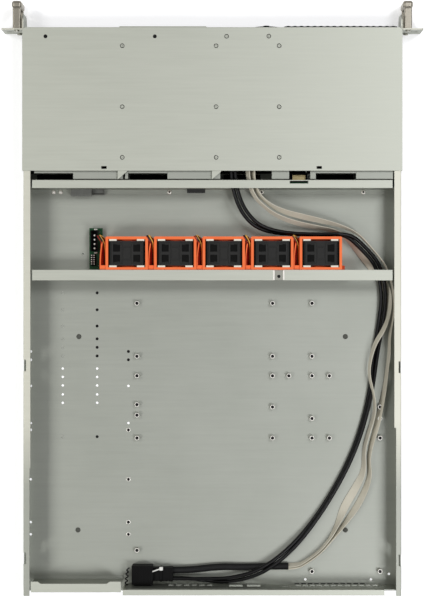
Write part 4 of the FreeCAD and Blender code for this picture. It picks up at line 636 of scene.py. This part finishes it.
# ---- Rear lip of the bays. The folded top edge of the drive cage, in the case's own zinc-plated
# sheet, shows as a pale strip behind the cover. It is cut back round the sockets and the cables.
lips = ((-207.0, -164.5, -136.2), (-164.5, -118.5, -142.9), (-118.5, -112.0, -136.2),
        (-88.0, -68.0, -136.2), (-9.0, 51.5, -136.2), (51.5, 96.5, -142.9), (96.5, 100.0, -136.2),
        (102.5, 159.5, -136.2), (159.5, 204.0, -142.9))
for number, (x0, x1, y1) in enumerate(lips, 1):
    finished("bay_rear_lip_" + str(number), bar(x0, x1, -148.0, y1, 37.2, 38.2, 0.2), zinc)


# ---- Square socket of the backplane. A black housing holds a pressed metal shell with a thin gold
# flash, which looks like dull pale brass.
brass = mottled("selective_gold_flash", 0.002, "#a08e62", "#cbbd92",
                {"Metallic": 1.0, "Roughness": 0.35})
housing = hollowed(bar(-109.0, -90.0, -143.6, -133.3, 14.0, 24.0, 0.0), 1.6, 5.0)
finished("backplane_square_socket", housing, abs_black)
socket_shell = hollowed(bar(-107.2, -91.8, -141.9, -135.0, 19.2, 25.2, 0.4), 1.0, 2.0)
finished("backplane_square_socket_shell", socket_shell, brass)


# ---- Fan board connectors. A four-pin power header, an open black shell round tin-plated pins with
# a board lock at each end, and beside it a double-row pin header with tinned posts.
power_shell = hollowed(bar(132.9, 141.1, -78.2, -54.0, 8.6, 17.6, 0.0), 1.1, 7.0)
power_header = finished("fan_power_header", power_shell, abs_black)
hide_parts("fan_board_connectors")
pin = turned([(0, 0), (1.15, 0), (1.15, 7.6), (0.8, 8.1), (0, 8.2)], 10)
power_pitch = 5.0
pins = [(136.4, -72.4 + power_pitch * i, 9.6) for i in range(4)]
finished("fan_power_pins", repeated(pin, pins), tin)
lock = bar(-2.0, 2.0, -0.9, 0.9, 0.0, 1.6, 0.4)
locks = [(135.6, y, 8.6) for y in (-79.4, -52.4)]
finished("fan_power_header_locks", repeated(lock, locks), tin)
pin_base = bar(135.4, 141.4, -50.6, -37.4, 8.6, 11.1, 0.3)
finished("fan_pin_header", pin_base, abs_black)
post = bar(-0.55, 0.55, -0.55, 0.55, 0.0, 6.0, 0.15)
pin_pitch = 2.54
posts = [(x, -49.4 + pin_pitch * i, 11.0) for x in (137.0, 139.9) for i in range(5)]
finished("fan_pin_header_posts", repeated(post, posts), tin)


# ---- Fan holders. Soft orange elastomer mouldings that quiet the fans. The rubber is dull and a
# little translucent, and looks deep red-brown where its walls shade each other. Below the rims its
# colour is painted a redder orange: painted light, for the glow of light bounced between its walls.
orange = material_named("orange_elastomer")
orange_place = add(orange, "TexCoord")
orange_cloud = add(orange, "TexNoise",
                   {"Vector": orange_place.outputs["Object"], "Scale": 1 / 0.015, "Detail": 3.0})
orange_axes = add(orange, "SeparateXYZ", {"Vector": orange_place.outputs["Object"]})
# Painted light: below 30 mm the colour is a redder orange, blending into the mottled rim tone by
# 40.5 mm.
orange_high = add(orange, "MapRange",
                  {"Value": orange_axes.outputs["Z"], "From Min": 0.030, "From Max": 0.0405})
orange_rim = add(orange, "Mix",
                 {0: orange_cloud.outputs[0], 6: linear("#ef6628"), 7: linear("#fb7b3b")},
                 data_type="RGBA")
orange_tone = add(orange, "Mix",
                  {0: orange_high.outputs[0], 6: linear("#ff5f1e"), 7: orange_rim.outputs[2]},
                  data_type="RGBA")
orange_shader = add(orange, "BsdfPrincipled",
                    {"Base Color": orange_tone.outputs[2], "Roughness": 0.5, "IOR": 1.45})
add(orange, "OutputMaterial", {"Surface": orange_shader.outputs[0]})
fans = range(1, 6)
wear(orange, *["fan_holder_" + str(i) for i in fans])
fan_middles = []
for i in fans:
    low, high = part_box("fan_housing_" + str(i))
    fan_middles.append((low[0] + high[0]) * mm_per_m / 2)
for i, middle in enumerate(fan_middles, 1):
    web = bar(middle + 24.3, middle + 30.9, -64.5, -38.2, 22.0, 23.2, 0.2)
    finished("fan_channel_web_" + str(i), web, orange)


# ---- Fans. Frames and impellers of glass-filled PBT: near black, mottled with a dusty grey bloom.
# A moulded grille of ribs crowns each frame. White foam pads sit at the upper corners.
pbt = mottled("glass_filled_pbt", 0.003, "#121210", "#21201d",
              {"Roughness": 0.55, "Specular IOR Level": 0.30}, detail=3.0, rounding=0.0004)
wear(pbt, *["fan_housing_" + str(i) for i in fans], *["fan_rotor_" + str(i) for i in fans])

# Open-cell foam is chalky and mottled at the size of its cells.
foam = mottled("white_foam_pad", 0.001, "#ddd6c4", "#f2ecdd", {"Roughness": 0.8})
wear(foam, "fan_pads")

# Painted shade: near-black plates lie in the pockets between the ribs and in the gaps beside each
# frame, so these read blacker than the ribs.
pbt_painted_shade = mottled("shaded_pbt_pocket", 0.003, "#070707", "#121210",
                   {"Roughness": 0.7, "Specular IOR Level": 0.1}, detail=3.0)
crown_ribs = ((-17.4, -15.4, -63.4, -39.3), (15.4, 17.4, -63.4, -39.3), (-7.6, -5.4, -63.4, -39.3),
              (5.4, 7.6, -63.4, -39.3), (-15.8, -7.2, -53.2, -49.4), (7.2, 15.8, -53.2, -49.4),
              (-15.8, -7.2, -63.4, -62.2), (7.2, 15.8, -63.4, -62.2),
              (-15.8, -7.2, -40.5, -39.3), (7.2, 15.8, -40.5, -39.3), (-4.2, 4.2, -58.0, -44.5))
crown_shade_plates = ((-15.2, -7.8, -61.0, -53.4), (7.8, 15.2, -61.0, -53.4),
                 (-15.2, -7.8, -49.2, -41.6), (7.8, 15.2, -49.2, -41.6),
                 (-20.2, -18.8, -64.8, -37.9), (18.8, 20.2, -64.8, -37.9))
crown_foot, crown_top, pocket_top = 41.5, 42.5, 41.75
edge_share = 0.25
for i, middle in enumerate(fan_middles, 1):
    for name, blocks, top, material in (("fan_crown_", crown_ribs, crown_top, pbt),
                                        ("fan_crown_shade_", crown_shade_plates, pocket_top, pbt_painted_shade)):
        crown = bmesh.new()
        for x0, x1, y0, y1 in blocks:
            one = bar(middle + x0, middle + x1, y0, y1, crown_foot, top,
                      edge_share * (top - crown_foot))
            piece = bpy.data.meshes.new("piece")
            one.to_mesh(piece)
            one.free()
            crown.from_mesh(piece)
            bpy.data.meshes.remove(piece)
        finished(name + str(i), crown, material)


# ---- Fan leads. Three thin PVC wires, black, yellow and red, come out of each fan's channel in its
# holder, arch over the front rim and drop to the socket below.
# The insulation is glossy and a little soiled, so each colour is slightly browned in patches.
soil = "#6d5a4a"
wire_skins = [mottled(name, 0.003, colour, soil, {"Roughness": 0.35, "IOR": 1.52},
                      blend="SOFT_LIGHT")
              for name, colour in (("black_wire_pvc", "#121110"), ("yellow_wire_pvc", "#f0c868"),
                                   ("red_wire_pvc", "#a82818"))]

# The route is in millimetres, with x measured from the holder's side.
lead_route = [(2.5, -66.0, 10.5), (3.0, -68.5, 24.0), (6.5, -71.3, 38.0), (8.3, -71.6, 41.0),
              (6.5, -69.5, 42.2), (3.0, -63.5, 40.0), (2.4, -58.0, 34.0), (2.3, -50.0, 28.0),
              (2.2, -38.4, 26.0)]
half_holder = 24.25
wire_gap, wire_stagger, wire_drop = 1.15, 0.4, 0.5
wire_radius = 0.00055
bow_step = 0.35
arch = range(3, 6)
for i, x in enumerate(fan_middles, 1):
    for skin, side in zip(wire_skins, (0.0, -1.0, 1.0)):
        # Each wire's arch leans a little differently, as hand-laid leads do.
        bow = bow_step * ((i * 7 + int(side) * 3) % 5 - 2)
        points = [((x + half_holder + px + wire_gap * side + bow * (n in arch)) / mm_per_m,
                   (y + wire_stagger * side) / mm_per_m, (z - wire_drop * abs(side)) / mm_per_m)
                  for n, (px, y, z) in enumerate(lead_route)]
        wire = route_curve("fan_" + str(i) + "_" + skin.name, points, wire_radius)
        wire.data.materials.append(skin)
        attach(wire, "case")
        if skin is wire_skins[0] and i == 1:
            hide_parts("fan_leads")


# ---- Rear vents. A row of slots is lanced along the foot of the rear panel, near its spot welds
# to the floor. Thin black strips on the floor stand for them: painted shade of the slots.
slot_pitch = 7.6
slot_shade = bar(-2.7, 2.7, -0.7, 0.7, 0.0, 0.2)
slot_shade_spots = [(-98.0 - slot_pitch * i, 332.6, 1.95) for i in range(11)]
finished("rear_foot_slot_shade", repeated(slot_shade, slot_shade_spots), pvc)


# ---- Plug ties. A black nylon band cinches the plug's boot, under a white nylon head with a short
# cut tail. A black locking spring folds back and forth beside the plug.
tie_white = mottled("white_nylon_tie", 0.003, "#d9d7cf", "#efeee8",
                    {"Roughness": 0.4, "IOR": 1.53})
loop = bar(58.4, 61.0, 310.9, 328.3, 2.2, 16.8, 0.0)
corner_radius, band_thickness = 2.8, 0.9
ends = [face for face in loop.faces if abs(face.normal.x) > 0.9]
bmesh.ops.delete(loop, geom=ends, context="FACES_ONLY")
long_edges = [edge for edge in loop.edges
              if abs(edge.verts[0].co.x - edge.verts[1].co.x) > 1 / mm_per_m]
bmesh.ops.bevel(loop, geom=long_edges, offset=corner_radius / mm_per_m, offset_type="OFFSET",
                segments=4, profile=0.5, affect="EDGES", material=-1)
bmesh.ops.solidify(loop, geom=loop.faces[:], thickness=band_thickness / mm_per_m)
bmesh.ops.recalc_face_normals(loop, faces=loop.faces[:])
finished("plug_tie_band", loop, abs_black)
finished("plug_tie_head", bar(57.2, 61.6, 310.6, 314.9, 15.6, 19.6, 1.0), tie_white)
strand_radius = 0.0008
tail = route_curve("plug_tie_tail", [
    (0.0605, 0.3130, 0.0180), (0.0640, 0.3140, 0.0190), (0.0665, 0.3148, 0.0200),
    (0.0692, 0.3156, 0.0214)], strand_radius)
tail.data.materials.append(tie_white)
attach(tail, "case")
spring = route_curve("plug_locking_spring", [
    (0.0960, 0.3120, 0.0150), (0.1005, 0.3145, 0.0160), (0.0965, 0.3170, 0.0150),
    (0.1015, 0.3195, 0.0140), (0.0965, 0.3220, 0.0130), (0.1020, 0.3250, 0.0120),
    (0.0975, 0.3280, 0.0110), (0.1030, 0.3305, 0.0090), (0.0990, 0.3330, 0.0070)], strand_radius)
spring.data.materials.append(pvc)
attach(spring, "case")


# ---- Floor, lights and surroundings. A white table under four soft boxes, two over either side of
# the case. The pair on the left stands nearer and is a little cooler. The room is dim and even.
# The paper glows only to the eye and in reflections, so it lights nothing and keeps the shadow.
white = material_named("white_paper")
white_ray = add(white, "LightPath")
white_seen = add(white, "Math",
                 {0: white_ray.outputs["Is Camera Ray"], 1: white_ray.outputs["Is Glossy Ray"]},
                 operation="MAXIMUM")
white_glow = add(white, "Emission", {"Color": linear("#ffffff"), "Strength": 0.45})
white_face = add(white, "BsdfDiffuse", {"Color": linear("#f6f6f6")})
white_both = add(white, "AddShader", {0: white_face.outputs[0], 1: white_glow.outputs[0]})
white_mix = add(white, "MixShader",
                {0: white_seen.outputs[0], 1: white_face.outputs[0], 2: white_both.outputs[0]})
add(white, "OutputMaterial", {"Surface": white_mix.outputs[0]})
floor_drop, floor_reach = 0.0004, 6.0
floor_shape = bmesh.new()
bmesh.ops.create_grid(floor_shape, x_segments=1, y_segments=1, size=floor_reach,
                      matrix=Matrix.Translation((0.0, 0.0, -floor_drop)))
floor_mesh = bpy.data.meshes.new("studio_floor")
floor_shape.to_mesh(floor_mesh)
floor_shape.free()
floor = bpy.data.objects.new("studio_floor", floor_mesh)
floor.data.materials.append(white)
scene.collection.objects.link(floor)

lamp_height = 2.24
for name, x, y, watts in (("soft_box_right_front", 1.50, -0.80, 12.5),
                          ("soft_box_right_rear", 1.50, 0.88, 18.0),
                          ("soft_box_left_front", -0.95, -0.80, 14.5),
                          ("soft_box_left_rear", -0.95, 0.88, 18.0)):
    lamp = bpy.data.lights.new(name, "AREA")
    lamp.shape = "RECTANGLE"
    lamp.size = 0.30
    lamp.size_y = 0.90
    lamp.energy = watts
    lamp.color = (0.98, 0.99, 1.04) if x < 0 else (1.0, 1.0, 1.0)
    light = bpy.data.objects.new(name, lamp)
    light.location = (x, y, lamp_height)
    light.rotation_euler = (-light.location).to_track_quat("-Z", "Y").to_euler()
    scene.collection.objects.link(light)

sky = bpy.data.worlds.new("studio")
sky.use_nodes = True
background = sky.node_tree.nodes["Background"]
background.inputs["Color"].default_value = (1.0, 1.0, 1.0, 1.0)
background.inputs["Strength"].default_value = 0.25
scene.world = sky
scene.view_settings.view_transform = "Standard"
